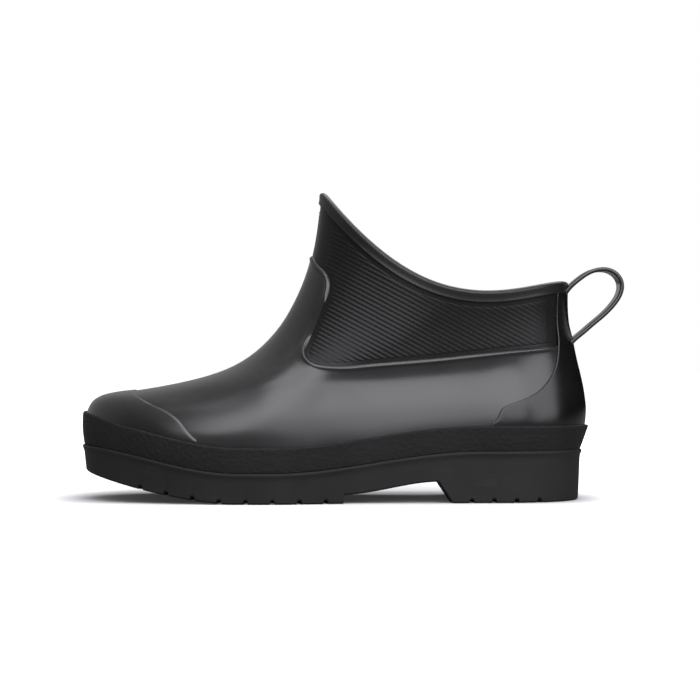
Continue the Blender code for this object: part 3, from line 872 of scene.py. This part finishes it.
def rib_mask(flat, lines):
    """Share of a rib's full height at stations and heights of the ankle panel."""
    _, rim, _, stay = lines
    tab = np.array(VAMP_LINE[:TAB_STOPS])[::-1]
    sill = np.array(VAMP_LINE[TAB_STOPS - 1 :])
    beside_tab = flat[:, 0] > np.interp(flat[:, 1], tab[:, 1], tab[:, 0], right=0.0)
    above_sill = flat[:, 1] > np.interp(flat[:, 0], sill[:, 0], sill[:, 1])
    below_rim = flat[:, 1] < np.interp(flat[:, 0], rim[:, 0], rim[:, 1])
    before_stay = flat[:, 0] < stay[-1, 0]
    mask = np.where(beside_tab & above_sill & below_rim & before_stay, 1.0, 0.0)
    for line, (start, length) in zip(lines, RIB_FADES):
        mask = mask * smooth((away_from(flat, line) - start) / length)
    return mask


def make_ribs(name, side):
    """Ribbed sheet over the ankle panel of one side, whose edges dive into the shaft."""
    square_steps = np.arange(RIB_LOW, RIB_HIGH, RIB_PITCH / RIB_ROWS)
    long_steps = np.arange(RIB_START, RIB_STOP, RIB_STEP)
    across, along = np.meshgrid(square_steps, long_steps, indexing="ij")
    station = across * math.sin(RIB_SLOPE) + along * math.cos(RIB_SLOPE)
    height = across * math.cos(RIB_SLOPE) - along * math.sin(RIB_SLOPE)
    lines = panel_lines()
    mask = np.array([rib_mask(row, lines) for row in np.stack((station, height), axis=-1)])
    in_front = across < RIB_TOP + RIB_PITCH / 2
    mask = mask * np.where(in_front, 1.0, smooth((station - RIB_BACK) / RIB_BACK_FADE))
    rise = RIB_RISE * (1 - RIB_FLATTEN * smooth((station - RIB_FLATTEN_START) / RIB_FLATTEN_LENGTH))
    wave = 0.5 + 0.5 * np.cos(2 * math.pi * (across - RIB_TOP) / RIB_PITCH)
    offset = mask * (RIB_LIFT + RIB_HIDE + rise * wave) - RIB_HIDE
    angle, level = locate(station.ravel(), height.ravel())
    rows = laid(side * angle, level, offset.ravel()).reshape(*station.shape, 3)
    keep = mask > 0
    keep[1:] |= mask[:-1] > 0
    keep[:-1] |= mask[1:] > 0
    keep[:, 1:] |= mask[:, :-1] > 0
    keep[:, :-1] |= mask[:, 1:] > 0
    piece = sheet(name, rows[::side], keep=keep[::side])
    thicken(piece, RIB_WALL)
    return smooth_shade(piece, ROUND_SHARP)


def make_lining():
    collar = shifted(*collar_edge(), -BINDING_INSIDE / 2)
    return wall_between("knit_lining", feather_line(), collar, VAMP_ROWS, -WALL, CLOTH)


def make_binding():
    edge = collar_edge()
    up = square_up(*edge)
    middle = (BINDING - BINDING_INNER) / 2
    half = (BINDING + BINDING_INNER) / 2
    # Distance up from the rim, offset from the last: over the folded strip from its outer to its inner foot
    fold = [(-BINDING_OUTSIDE, -SHEET_ROOT)]
    fold += [(above - BINDING_OUTSIDE, share * BINDING) for above, share in BINDING_PROFILE]
    for turn in np.linspace(0, math.pi, BINDING_STEPS):
        rise = BINDING_CROWN * math.sin(turn) - BINDING_TURN
        fold.append((rise, middle + half * math.cos(turn)))
    fold += [(-BINDING_INNER_TOP, -BINDING_INNER), (-BINDING_INSIDE, -BINDING_INNER)]
    fold.append((-BINDING_INSIDE, -WALL))
    rows = []
    for rise, offset in fold:
        below = shifted(*edge, min(rise, 0.0))
        rows.append(laid(*below, offset) + up * max(rise, 0.0))
    piece = sheet("collar_fold", rows, closed_round=True, closed_rows=True)
    turn_outward(piece)
    return smooth_shade(piece, ROUND_SHARP)


def sheet_foot(station):
    """Lower edge of toe cap and counter, behind the foxing."""
    return foxing_top(station) - SHEET_FOOT


def chamfered(line, edge):
    """Points of the toe cap, which thins towards its edge."""
    away = away_from(last(*line), edge)
    rise = np.interp(away, *np.transpose(CAP_EDGE_PROFILE))
    return laid(*line, VAMP + rise - tucked(*line))


def make_cap():
    angle, level = course(TOE_CAP_LINE, CAP_COLUMNS, front=True)
    steps = np.arange(CAP_COLUMNS + 1)
    kept = CAP_CORNER * steps
    top = both_sides(np.interp(kept, steps, angle), np.interp(kept, steps, level))
    foot_angle = np.linspace(0, CAP_CORNER * angle[-1], CAP_COLUMNS + 1)
    foot = both_sides(foot_angle, level_at(foot_angle, sheet_foot))
    shares = [CAP_PLAIN * i / CAP_ROWS for i in range(CAP_ROWS)]
    shares += [1 - (1 - CAP_PLAIN) * (1 - i / RIM_ROWS) ** 2 for i in range(RIM_ROWS + 1)]
    lines = [blend(foot, top, share) for share in shares]
    edge = last(*both_sides(*course(TOE_CAP_LINE, FINE_STEPS, front=True)))
    piece = sheet("toe_cap_sheet", [chamfered(line, edge) for line in lines])
    thicken(piece, SHEET + SHEET_SUNK)
    return smooth_shade(piece)


def make_counter():
    around, rim = shifted(*collar_edge(), -COUNTER_TOP * BINDING_OUTSIDE)
    order = np.argsort(around)
    vamp_angle, vamp_level = vamp_edge()

    def span(angle):
        """Levels just inside the foxing and under the collar binding at these angles."""
        return level_at(angle, sheet_foot), np.interp(angle, around[order], rim[order])

    edge_angle, edge_level = course(COUNTER_LINE, COUNTER_ROWS - 1)
    foot, top = span(edge_angle)
    shares = (edge_level - foot) / (top - foot)
    shares[0] = 0
    shares[-1] = 1
    rows = []
    for start, share in zip(edge_angle, shares):
        angle = np.linspace(start, 2 * math.pi - start, COUNTER_COLUMNS + 1)
        foot, top = span(angle)
        level = foot + (top - foot) * share
        above_vamp = level - np.interp(angle, vamp_angle, vamp_level)
        over_vamp = 1 - smooth((above_vamp - COUNTER_STEP_START) / COUNTER_STEP_LENGTH)
        rows.append(laid(angle, level, STAY_TOP + (VAMP + SHEET - STAY_TOP) * over_vamp))
    piece = sheet("heel_counter_sheet", rows)
    thicken(piece, SHEET + SHEET_SUNK)
    finish_with(
        piece, "BEVEL", width=COUNTER_BEVEL, segments=COUNTER_BEVEL_STEPS,
        limit_method="ANGLE", angle_limit=COUNTER_BEVEL_ANGLE,
    )
    return smooth_shade(piece)


def make_foxing():
    angle, feather = feather_line()
    top = level_at(angle, foxing_top)
    seam = seam_height(side_view(angle, feather)[:, 0])
    rows = [laid(angle, top * share, offset) for share, offset in FOXING_PROFILE]
    rows[0][:, 2] = seam + FOXING_GROOVE
    inside = VAMP - SHEET_ROOT - tucked(angle, top)
    rows += [laid(angle, top * share, inside) for share in (1.0, 0.5, 0.0)]
    rows[-1][:, 2] = seam + SEAT
    for rise in (SEAT, FOXING_GROOVE):
        slot = laid(angle, feather, FOXING_SLOT)
        slot[:, 2] = seam + rise
        rows.append(slot)
    piece = sheet("foxing_band", rows, closed_round=True, closed_rows=True)
    turn_outward(piece)
    return smooth_shade(piece, BAND_SHARP)


def groove_centres():
    fore = [FORE_GROOVE_FIRST + i * FORE_GROOVE_PITCH for i in range(FORE_GROOVES)]
    return fore + [HEEL_GROOVE_FIRST + i * HEEL_GROOVE_PITCH for i in range(HEEL_GROOVES)]


def sole_stations():
    """Stations of the outsole's columns with the depth of groove at each."""
    half = GROOVE_WIDTH / 2
    cuts = [(TREAD_END - GROOVE_DRAFT / 2, 0.0), (TREAD_END + GROOVE_DRAFT / 2, 0.0)]
    cuts += [(BREAST_TOP, 0.0), (BREAST_FOOT, 0.0)]
    for centre in groove_centres():
        cuts += [(centre - half, 0.0), (centre - half + GROOVE_DRAFT, GROOVE_DEPTH)]
        cuts += [(centre + half - GROOVE_DRAFT, GROOVE_DEPTH), (centre + half, 0.0)]
    row = section(np.zeros(1))
    front = row["front_station"][0]
    back = row["back_station"][0]
    even = front + (back - front) * (1 - np.cos(np.linspace(0, math.pi, HALF_COLUMNS + 1))) / 2
    cuts += [(x, 0.0) for x in even if min(abs(x - cut) for cut, _ in cuts) > COLUMN_GAP]
    return np.array(sorted(cuts)), front, back


def make_outsole():
    stations, front, back = sole_stations()
    angle = np.arccos(np.clip(1 - 2 * (stations[:, 0] - front) / (back - front), -1, 1))
    angle, station = all_round(angle, stations[:, 0])
    cut = np.concatenate((stations[:, 1], stations[-2:0:-1, 1]))
    base = last(angle, np.zeros_like(angle))
    side = plan_outward(angle)
    seam = seam_height(station)
    under = tread_height(station) + cut
    outline = [(under, SOLE_FOOT)]
    outline.append((np.minimum(under + SOLE_FOOT_BEVEL, seam - SOLE_SIDE_LEAST), SOLE_FOOT_SIDE))
    outline += [(seam - depth, offset) for depth, offset in SOLE_LIP_PROFILE[::-1]]
    rings = []
    # The grooves end short of the middle, which is hollow inside a ring of plain tread.
    inner = (
        (GROOVE_LENGTH + HOLLOW_DRAFT, HOLLOW_DEPTH, 0),
        (GROOVE_LENGTH, 0, 0),
        (GROOVE_LENGTH - GROOVE_DRAFT, 0, 1),
    )
    for inset, rise, share in inner:
        ring = base - side * inset
        along = np.where(station < SPRING_LENGTH, ring[:, 0] + ORIGIN_STATION, station)
        ring[:, 2] = tread_height(along) + rise + share * cut
        rings.append(ring)
    for height, offset in outline:
        ring = base + side * offset
        ring[:, 2] = height
        rings.append(ring)
    return closed_body("tread_sole", rings, TREAD_SHARP)


def hollow_sides():
    """Edges of the tread's hollow middle as functions of the station: outer side, inner side."""
    sides = []
    for angle in (np.linspace(0, math.pi, FINE_STEPS), np.linspace(0, -math.pi, FINE_STEPS)):
        inset = plan_outward(angle) * (GROOVE_LENGTH + HOLLOW_DRAFT + BAR_MARGIN)
        edge = last(angle, np.zeros_like(angle)) - inset
        order = np.argsort(edge[:, 0])
        sides.append((edge[order, 0] + ORIGIN_STATION, edge[order, 1]))
    return sides


def bar_reach(start, end, edge):
    """How far an arm of a chevron goes out before it meets the hollow's edge or the end of the tread."""
    reach = 0.0
    for _ in range(HALVINGS):
        limit = abs(np.interp(start + BAR_SLANT * reach, *edge))
        reach = (reach + min(limit, max(end - start, 0.0) / BAR_SLANT)) / 2
    return reach


def make_tread_bars():
    """Chevron bars in the hollow middle of the tread."""
    outer, inner = hollow_sides()
    section_line = (
        (-BAR_HALF - BAR_BEVEL, HOLLOW_DEPTH + SEAT), (-BAR_HALF, BAR_BEVEL), (BAR_BEVEL - BAR_HALF, 0.0),
        (BAR_HALF - BAR_BEVEL, 0.0), (BAR_HALF, BAR_BEVEL), (BAR_HALF + BAR_BEVEL, HOLLOW_DEPTH + SEAT),
    )
    starts = [(FORE_BAR_FIRST + i * BAR_PITCH, TREAD_END - BAR_PITCH / 2) for i in range(FORE_BARS)]
    starts += [(HEEL_BAR_FIRST + i * BAR_PITCH, LENGTH) for i in range(HEEL_BARS)]
    bars = []
    for start, end in starts:
        across = np.linspace(-bar_reach(start, end, outer), bar_reach(start, end, inner), BAR_STEPS + 1)
        station = start + BAR_SLANT * (np.hypot(across, BAR_TURN) - BAR_TURN)
        rows = []
        for aside, rise in section_line:
            height = tread_height(station + aside) + rise
            rows.append(np.stack((station + aside - ORIGIN_STATION, across, height), axis=-1))
        bar = sheet("tread_bars", np.array(rows).transpose(1, 0, 2), closed_round=True)
        close_ends(bar)
        turn_outward(bar)
        bars.append(bar)
    pick(bars[0])
    for bar in bars:
        bar.select_set(True)
    bpy.ops.object.join()
    return smooth_shade(bpy.context.object, TREAD_SHARP)


def make_insole():
    angle, feather = feather_line()
    seam = seam_height(side_view(angle, feather)[:, 0])
    rings = []
    for inset, height in INSOLE_PROFILE:
        ring = laid(angle, feather, -(WALL + INSOLE_MARGIN + inset))
        ring[:, 2] = seam + SEAT + height
        rings.append(ring)
    return closed_body("insole_pad", rings, ROUND_SHARP)


def make_loop():
    stops = np.array(LOOP_LINE)
    at = spline(lengths_along(stops), stops)
    path = at(np.linspace(0, lengths_along(stops)[-1], LOOP_STEPS + 1))
    along = unit(np.gradient(path, axis=0))
    square = np.stack((-along[:, 1], along[:, 0]), axis=-1)
    half_width = LOOP_WIDTH / 2 - LOOP_ROUND
    half_thick = LOOP_THICK / 2 - LOOP_ROUND
    # Rounded section of the strap: across its width, through its thickness
    outline = []
    for corner, (side, face) in enumerate(((1, 1), (-1, 1), (-1, -1), (1, -1))):
        for turn in np.linspace(0, math.pi / 2, ROUND_STEPS) + corner * math.pi / 2:
            wide = side * half_width + LOOP_ROUND * math.cos(turn)
            thick = face * half_thick + LOOP_ROUND * math.sin(turn)
            outline.append((wide, thick))
    # Both ends wrap round the back stay
    from_end = np.minimum(np.linspace(0, 1, LOOP_STEPS + 1), np.linspace(1, 0, LOOP_STEPS + 1))
    wrap = LOOP_WRAP * (1 - smooth(from_end / LOOP_WRAP_SHARE))
    rows = []
    for point, across, sag in zip(path, square, wrap):
        row = []
        for wide, thick in outline:
            place = point + across * thick
            back = place[0] - ORIGIN_STATION - sag * (2 * wide / LOOP_WIDTH) ** 2
            row.append((back, wide, place[1]))
        rows.append(row)
    piece = sheet("pull_strap", rows, closed_round=True)
    close_ends(piece)
    turn_outward(piece)
    return smooth_shade(piece, BAND_SHARP)


def new_group(name, amounts, outputs):
    """Empty shader group that takes a vector and named amounts."""
    group = bpy.data.node_groups.new(name, "ShaderNodeTree")
    group.interface.new_socket("Vector", in_out="INPUT", socket_type="NodeSocketVector")
    for label, start in amounts.items():
        socket = group.interface.new_socket(label, in_out="INPUT", socket_type="NodeSocketFloat")
        socket.default_value = start
    for label in outputs:
        group.interface.new_socket(label, in_out="OUTPUT", socket_type="NodeSocketFloat")
    return group, group.nodes.new("NodeGroupInput"), group.nodes.new("NodeGroupOutput")


def add_node(tree, kind, links=(), **values):
    """Node with some inputs set and others linked from sockets."""
    made = tree.nodes.new(kind)
    for name, value in values.items():
        setattr(made, name, value)
    for name, source in links:
        if isinstance(source, bpy.types.NodeSocket):
            tree.links.new(source, made.inputs[name])
        else:
            made.inputs[name].default_value = source
    return made


def map_range(tree, value, from_low, from_high, to_low=0.0, to_high=1.0):
    links = (
        ("Value", value),
        ("From Min", from_low), ("From Max", from_high),
        ("To Min", to_low), ("To Max", to_high),
    )
    return add_node(tree, "ShaderNodeMapRange", links).outputs["Result"]


def reckon(tree, operation, *values):
    return add_node(tree, "ShaderNodeMath", enumerate(values), operation=operation).outputs[0]


def multiply(tree, first, second):
    return reckon(tree, "MULTIPLY", first, second)


def add_up(tree, first, second):
    return reckon(tree, "ADD", first, second)


def noise(tree, vector, scale, detail, roughness=0.5):
    links = (("Vector", vector), ("Scale", scale), ("Detail", detail), ("Roughness", roughness))
    return add_node(tree, "ShaderNodeTexNoise", links).outputs[0]


def moulded_grain_group():
    """Fine pimples of moulded rubber with a slow ripple under them, and a slow change of tone."""
    amounts = {"Grain Scale": 1400.0, "Ripple Scale": 90.0, "Ripple Share": 0.4}
    group, start, end = new_group("moulded grain", amounts, ("Height", "Tone"))
    vector = start.outputs["Vector"]
    fine = noise(group, vector, start.outputs["Grain Scale"], detail=2.0, roughness=0.6)
    ripple = noise(group, vector, start.outputs["Ripple Scale"], detail=1.0)
    height = add_node(group, "ShaderNodeMix", ((0, start.outputs["Ripple Share"]), (2, fine), (3, ripple)))
    slow = noise(group, vector, scale=28.0, detail=4.0)
    group.links.new(height.outputs[0], end.inputs["Height"])
    group.links.new(map_range(group, slow, 0.3, 0.7), end.inputs["Tone"])
    return group


def handling_group():
    """Faint rubbed streaks left by handling."""
    group, start, end = new_group("handling marks", {"Amount": 0.3}, ("Mask",))
    turned = add_node(
        group, "ShaderNodeMapping",
        (("Vector", start.outputs["Vector"]), ("Rotation", (0.3, 0.5, 0.2)), ("Scale", (60.0, 60.0, 420.0))),
    )
    streaks = noise(group, turned.outputs[0], scale=1.0, detail=5.0)
    patches = noise(group, start.outputs["Vector"], scale=18.0, detail=2.0)
    thin = map_range(group, streaks, 0.58, 0.74)
    where = map_range(group, patches, 0.45, 0.70)
    mask = multiply(group, multiply(group, thin, where), start.outputs["Amount"])
    group.links.new(mask, end.inputs["Mask"])
    return group


def dust_group():
    """Thin dust that settles on faces that look up."""
    group, start, end = new_group("settled dust", {"Amount": 0.05}, ("Mask",))
    facing = add_node(group, "ShaderNodeNewGeometry")
    parts = add_node(group, "ShaderNodeSeparateXYZ", ((0, facing.outputs["Normal"]),))
    upward = map_range(group, parts.outputs["Z"], 0.2, 1.0)
    specks = noise(group, start.outputs["Vector"], scale=260.0, detail=6.0)
    grains = map_range(group, specks, 0.40, 0.75)
    mask = multiply(group, multiply(group, upward, grains), start.outputs["Amount"])
    group.links.new(mask, end.inputs["Mask"])
    return group


def knit_group():
    """Columns and rows of knitted loops over a flat map of the cloth."""
    group, start, end = new_group("knit", {"Columns": 300.0, "Rows": 120.0}, ("Height", "Tone"))
    parts = add_node(group, "ShaderNodeSeparateXYZ", ((0, start.outputs["Vector"]),))
    across = multiply(group, multiply(group, parts.outputs["X"], start.outputs["Columns"]), math.pi)
    up = multiply(group, multiply(group, parts.outputs["Y"], start.outputs["Rows"]), 2 * math.pi)
    ridge = reckon(group, "ABSOLUTE", reckon(group, "SINE", across))
    slant = multiply(group, ridge, 2.2)
    loops = map_range(group, reckon(group, "SINE", add_up(group, up, slant)), -1.0, 1.0)
    height = multiply(group, ridge, map_range(group, loops, 0.0, 1.0, 0.35, 1.0))
    group.links.new(height, end.inputs["Height"])
    group.links.new(loops, end.inputs["Tone"])
    return group


GRAIN = moulded_grain_group()
HANDLING = handling_group()
DUST = dust_group()
KNIT = knit_group()


def place_group(tree, group, links):
    return add_node(tree, "ShaderNodeGroup", links, node_tree=group)


def mix_colour(tree, share, first, second):
    made = add_node(tree, "ShaderNodeMix", ((0, share), (6, first), (7, second)), data_type="RGBA")
    return made.outputs[2]


def grey(value):
    return (value, value, value, 1.0)


def new_surface(name):
    """Material with its node tree and its shader."""
    made = bpy.data.materials.new(name)
    made.use_nodes = True
    return made, made.node_tree, made.node_tree.nodes["Principled BSDF"]


def add_relief(tree, shader, height, bump):
    """Bump of a strength and depth from a height."""
    links = (("Height", height), ("Strength", bump[0]), ("Distance", bump[1]))
    tree.links.new(add_node(tree, "ShaderNodeBump", links).outputs[0], shader.inputs["Normal"])


def rubber(name, tones, rough, shine, grain, bump, marks, dust):
    """Moulded black rubber.

    Tones are its darkest and lightest grey, rough its least and most roughness, grain the scales of
    pimples and ripple and the ripple's share, and bump the strength and depth of both.
    """
    made, tree, shader = new_surface(name)
    place = add_node(tree, "ShaderNodeTexCoord").outputs["Object"]
    grain_scale, ripple_scale, ripple_share = grain
    skin = place_group(
        tree, GRAIN,
        (
            ("Vector", place), ("Grain Scale", grain_scale),
            ("Ripple Scale", ripple_scale), ("Ripple Share", ripple_share),
        ),
    )
    rubbed = place_group(tree, HANDLING, (("Vector", place), ("Amount", marks)))
    settled = place_group(tree, DUST, (("Vector", place), ("Amount", dust)))
    colour = mix_colour(tree, skin.outputs["Tone"], grey(tones[0]), grey(tones[1]))
    colour = mix_colour(tree, rubbed.outputs["Mask"], colour, grey(RUBBED_TONE * tones[1]))
    colour = mix_colour(tree, settled.outputs["Mask"], colour, DUST_COLOUR)
    tree.links.new(colour, shader.inputs["Base Color"])
    gloss = map_range(tree, skin.outputs["Tone"], 0.0, 1.0, rough[0], rough[1])
    gloss = add_up(tree, gloss, multiply(tree, rubbed.outputs["Mask"], RUBBED_ROUGH))
    gloss = add_up(tree, gloss, settled.outputs["Mask"])
    tree.links.new(gloss, shader.inputs["Roughness"])
    shader.inputs["Specular IOR Level"].default_value = shine
    add_relief(tree, shader, skin.outputs["Height"], bump)
    return made


def cloth(name, dark, light, columns, rows, coordinates):
    """Dark knitted cloth on the piece's own map, or on the object's plan."""
    made, tree, shader = new_surface(name)
    place = add_node(tree, "ShaderNodeTexCoord").outputs[coordinates]
    loops = place_group(tree, KNIT, (("Vector", place), ("Columns", columns), ("Rows", rows)))
    colour = mix_colour(tree, loops.outputs["Tone"], grey(dark), grey(light))
    tree.links.new(colour, shader.inputs["Base Color"])
    add_relief(tree, shader, loops.outputs["Height"], CLOTH_BUMP)
    shader.inputs["Roughness"].default_value = CLOTH_ROUGH
    shader.inputs["Sheen Weight"].default_value = CLOTH_SHEEN
    return made


def dress(piece, surface, slot, *nodes):
    """Puts a surface on a piece, ties it to the boot and hides the imported solids it stands for."""
    piece.data.materials.clear()
    piece.data.materials.append(surface)
    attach(piece, "root")
    if nodes:
        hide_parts(*nodes)


# Surfaces
vamp_skin = rubber(
    "vamp_rubber", tones=(0.007, 0.010), rough=(0.27, 0.33), shine=0.5,
    grain=(1500, 70, 0.35), bump=(0.10, 0.0004), marks=0.10, dust=0.02,
)
shaft_skin = rubber(
    "shaft_rubber", tones=(0.005, 0.008), rough=(0.32, 0.39), shine=0.15,
    grain=(1500, 90, 0.30), bump=(0.14, 0.0004), marks=0.10, dust=0.02,
)
binding_skin = rubber(
    "binding_rubber", tones=(0.006, 0.009), rough=(0.32, 0.40), shine=0.34,
    grain=(1500, 90, 0.30), bump=(0.12, 0.0004), marks=0.12, dust=0.02,
)
heel_skin = rubber(
    "heel_rubber", tones=(0.003, 0.005), rough=(0.22, 0.28), shine=0.34,
    grain=(1500, 60, 0.40), bump=(0.08, 0.0004), marks=0.10, dust=0.02,
)
strap_skin = rubber(
    "strap_rubber", tones=(0.008, 0.012), rough=(0.18, 0.24), shine=0.5,
    grain=(1100, 120, 0.30), bump=(0.06, 0.0004), marks=0.15, dust=0.02,
)
foxing_skin = rubber(
    "foxing_rubber", tones=(0.008, 0.012), rough=(0.62, 0.74), shine=0.14,
    grain=(1100, 480, 0.60), bump=(0.80, 0.0010), marks=0.15, dust=0.03,
)
tread_skin = rubber(
    "tread_rubber", tones=(0.010, 0.014), rough=(0.55, 0.65), shine=0.16,
    grain=(1000, 160, 0.30), bump=(0.22, 0.0004), marks=0.15, dust=0.02,
)
lining_cloth = cloth("lining_cloth", 0.020, 0.055, 260.0, 110.0, "UV")
insole_cloth = cloth("insole_cloth", 0.028, 0.070, 620.0, 420.0, "Object")

dress(make_outsole(), tread_skin, "tread_rubber", "outsole")
dress(make_tread_bars(), tread_skin, "tread_rubber")
dress(make_foxing(), foxing_skin, "foxing_rubber", "foxing")
dress(make_vamp(), vamp_skin, "upper_rubber", "upper")
dress(make_shaft(), shaft_skin, "upper_rubber", "upper")
dress(make_ribs("outer_ankle_ribs", 1), shaft_skin, "upper_rubber")
dress(make_ribs("inner_ankle_ribs", -1), shaft_skin, "upper_rubber")
dress(make_lining(), lining_cloth, "lining_cloth")
dress(make_binding(), binding_skin, "upper_rubber", "collar_binding")
dress(make_cap(), vamp_skin, "upper_rubber", "toe_cap")
dress(make_counter(), heel_skin, "heel_rubber", "heel_counter")
dress(make_insole(), insole_cloth, "lining_cloth", "insole")
dress(make_loop(), strap_skin, "strap_rubber", "pull_loop")


def make_floor():
    deselect()
    bpy.ops.mesh.primitive_plane_add(size=FLOOR_SIZE)
    floor = bpy.context.object
    floor.name = "floor"
    surface, tree, shader = new_surface("pale_floor")
    shader.inputs["Roughness"].default_value = FLOOR_ROUGH
    shader.inputs["Specular IOR Level"].default_value = 0.0
    shader.inputs["Emission Strength"].default_value = 1.0
    seen = add_node(tree, "ShaderNodeLightPath").outputs["Is Camera Ray"]
    place = add_node(tree, "ShaderNodeTexCoord").outputs["Object"]
    # Painted shadow: ambient occlusion round the sole darkens the floor's colour towards FLOOR_PAINTED_SHADE
    # and dims its glow, fading out towards the front
    clear = add_node(tree, "ShaderNodeAmbientOcclusion", (("Distance", CONTACT_REACH),), samples=8)
    shade = reckon(tree, "POWER", clear.outputs["AO"], CONTACT_POWER)
    depth = add_node(tree, "ShaderNodeSeparateXYZ", ((0, place),)).outputs["Y"]
    behind = map_range(tree, depth, CONTACT_FRONT, CONTACT_FULL)
    shade = map_range(tree, shade, 0.0, 1.0, CONTACT_LEAST, 1.0)
    shade = add_node(tree, "ShaderNodeMix", ((0, behind), (2, 1.0), (3, shade))).outputs[0]
    shaded = mix_colour(tree, shade, grey(FLOOR_PAINTED_SHADE), grey(FLOOR_PALE))
    tree.links.new(mix_colour(tree, seen, grey(FLOOR_PAINTED_REFLECTION), shaded), shader.inputs["Base Color"])
    # Painted light: glow for camera rays, growing with distance from the boot and dimmed under the painted
    # shadow
    away = add_node(tree, "ShaderNodeVectorMath", ((0, place),), operation="LENGTH")
    glow = map_range(tree, away.outputs["Value"], GLOW_START, GLOW_END, GLOW_NEAR, GLOW_FAR)
    glow = multiply(tree, multiply(tree, glow, shade), seen)
    tree.links.new(mix_colour(tree, glow, grey(0.0), grey(1.0)), shader.inputs["Emission Color"])
    floor.data.materials.append(surface)


def add_softbox(name, place, width, height, power):
    """Large soft light at a place, turned to the boot."""
    deselect()
    bpy.ops.object.light_add(type="AREA", location=place)
    lamp = bpy.context.object
    lamp.name = name
    lamp.data.shape = "RECTANGLE"
    lamp.data.size = width
    lamp.data.size_y = height
    lamp.data.energy = power
    lamp.data.color = STUDIO_TINT
    way = np.array(LIGHT_TARGET) - np.array(place)
    turn = math.atan2(-way[0], way[1])
    tilt = math.atan2(math.hypot(way[0], way[1]), -way[2])
    lamp.rotation_euler = (tilt, 0.0, turn)


def light_studio():
    """White surroundings behind the boot, dimmer and darker to the right for what it mirrors."""
    world = bpy.data.worlds.new("white studio")
    world.use_nodes = True
    bpy.context.scene.world = world
    tree = world.node_tree
    back = tree.nodes["Background"]
    way = add_node(tree, "ShaderNodeTexCoord").outputs["Generated"]
    parts = add_node(tree, "ShaderNodeSeparateXYZ", ((0, way),))
    leftward = map_range(tree, parts.outputs["X"], LIT_LEFT, DARK_RIGHT, 1.0, 0.0)
    backward = map_range(tree, parts.outputs["Y"], DIM_FRONT, BRIGHT_BACK, FRONT_STRENGTH, BACK_STRENGTH)
    dim = multiply(tree, leftward, backward)
    seen = add_node(tree, "ShaderNodeLightPath").outputs["Is Camera Ray"]
    strength = add_node(tree, "ShaderNodeMix", ((0, seen), (2, dim), (3, 1.0)))
    tree.links.new(strength.outputs[0], back.inputs["Strength"])
    back.inputs["Color"].default_value = grey(1.0)
    for softbox in SOFTBOXES:
        add_softbox(*softbox)


def set_camera():
    deselect()
    bpy.ops.object.camera_add(location=CAMERA_PLACE, rotation=(math.pi / 2, 0.0, 0.0))
    camera = bpy.context.object
    camera.data.sensor_width = SENSOR
    camera.data.lens = SENSOR * -CAMERA_PLACE[1] / PHOTO_WIDTH
    bpy.context.scene.camera = camera


make_floor()
light_studio()
set_camera()
bpy.context.scene.view_settings.view_transform = "Standard"
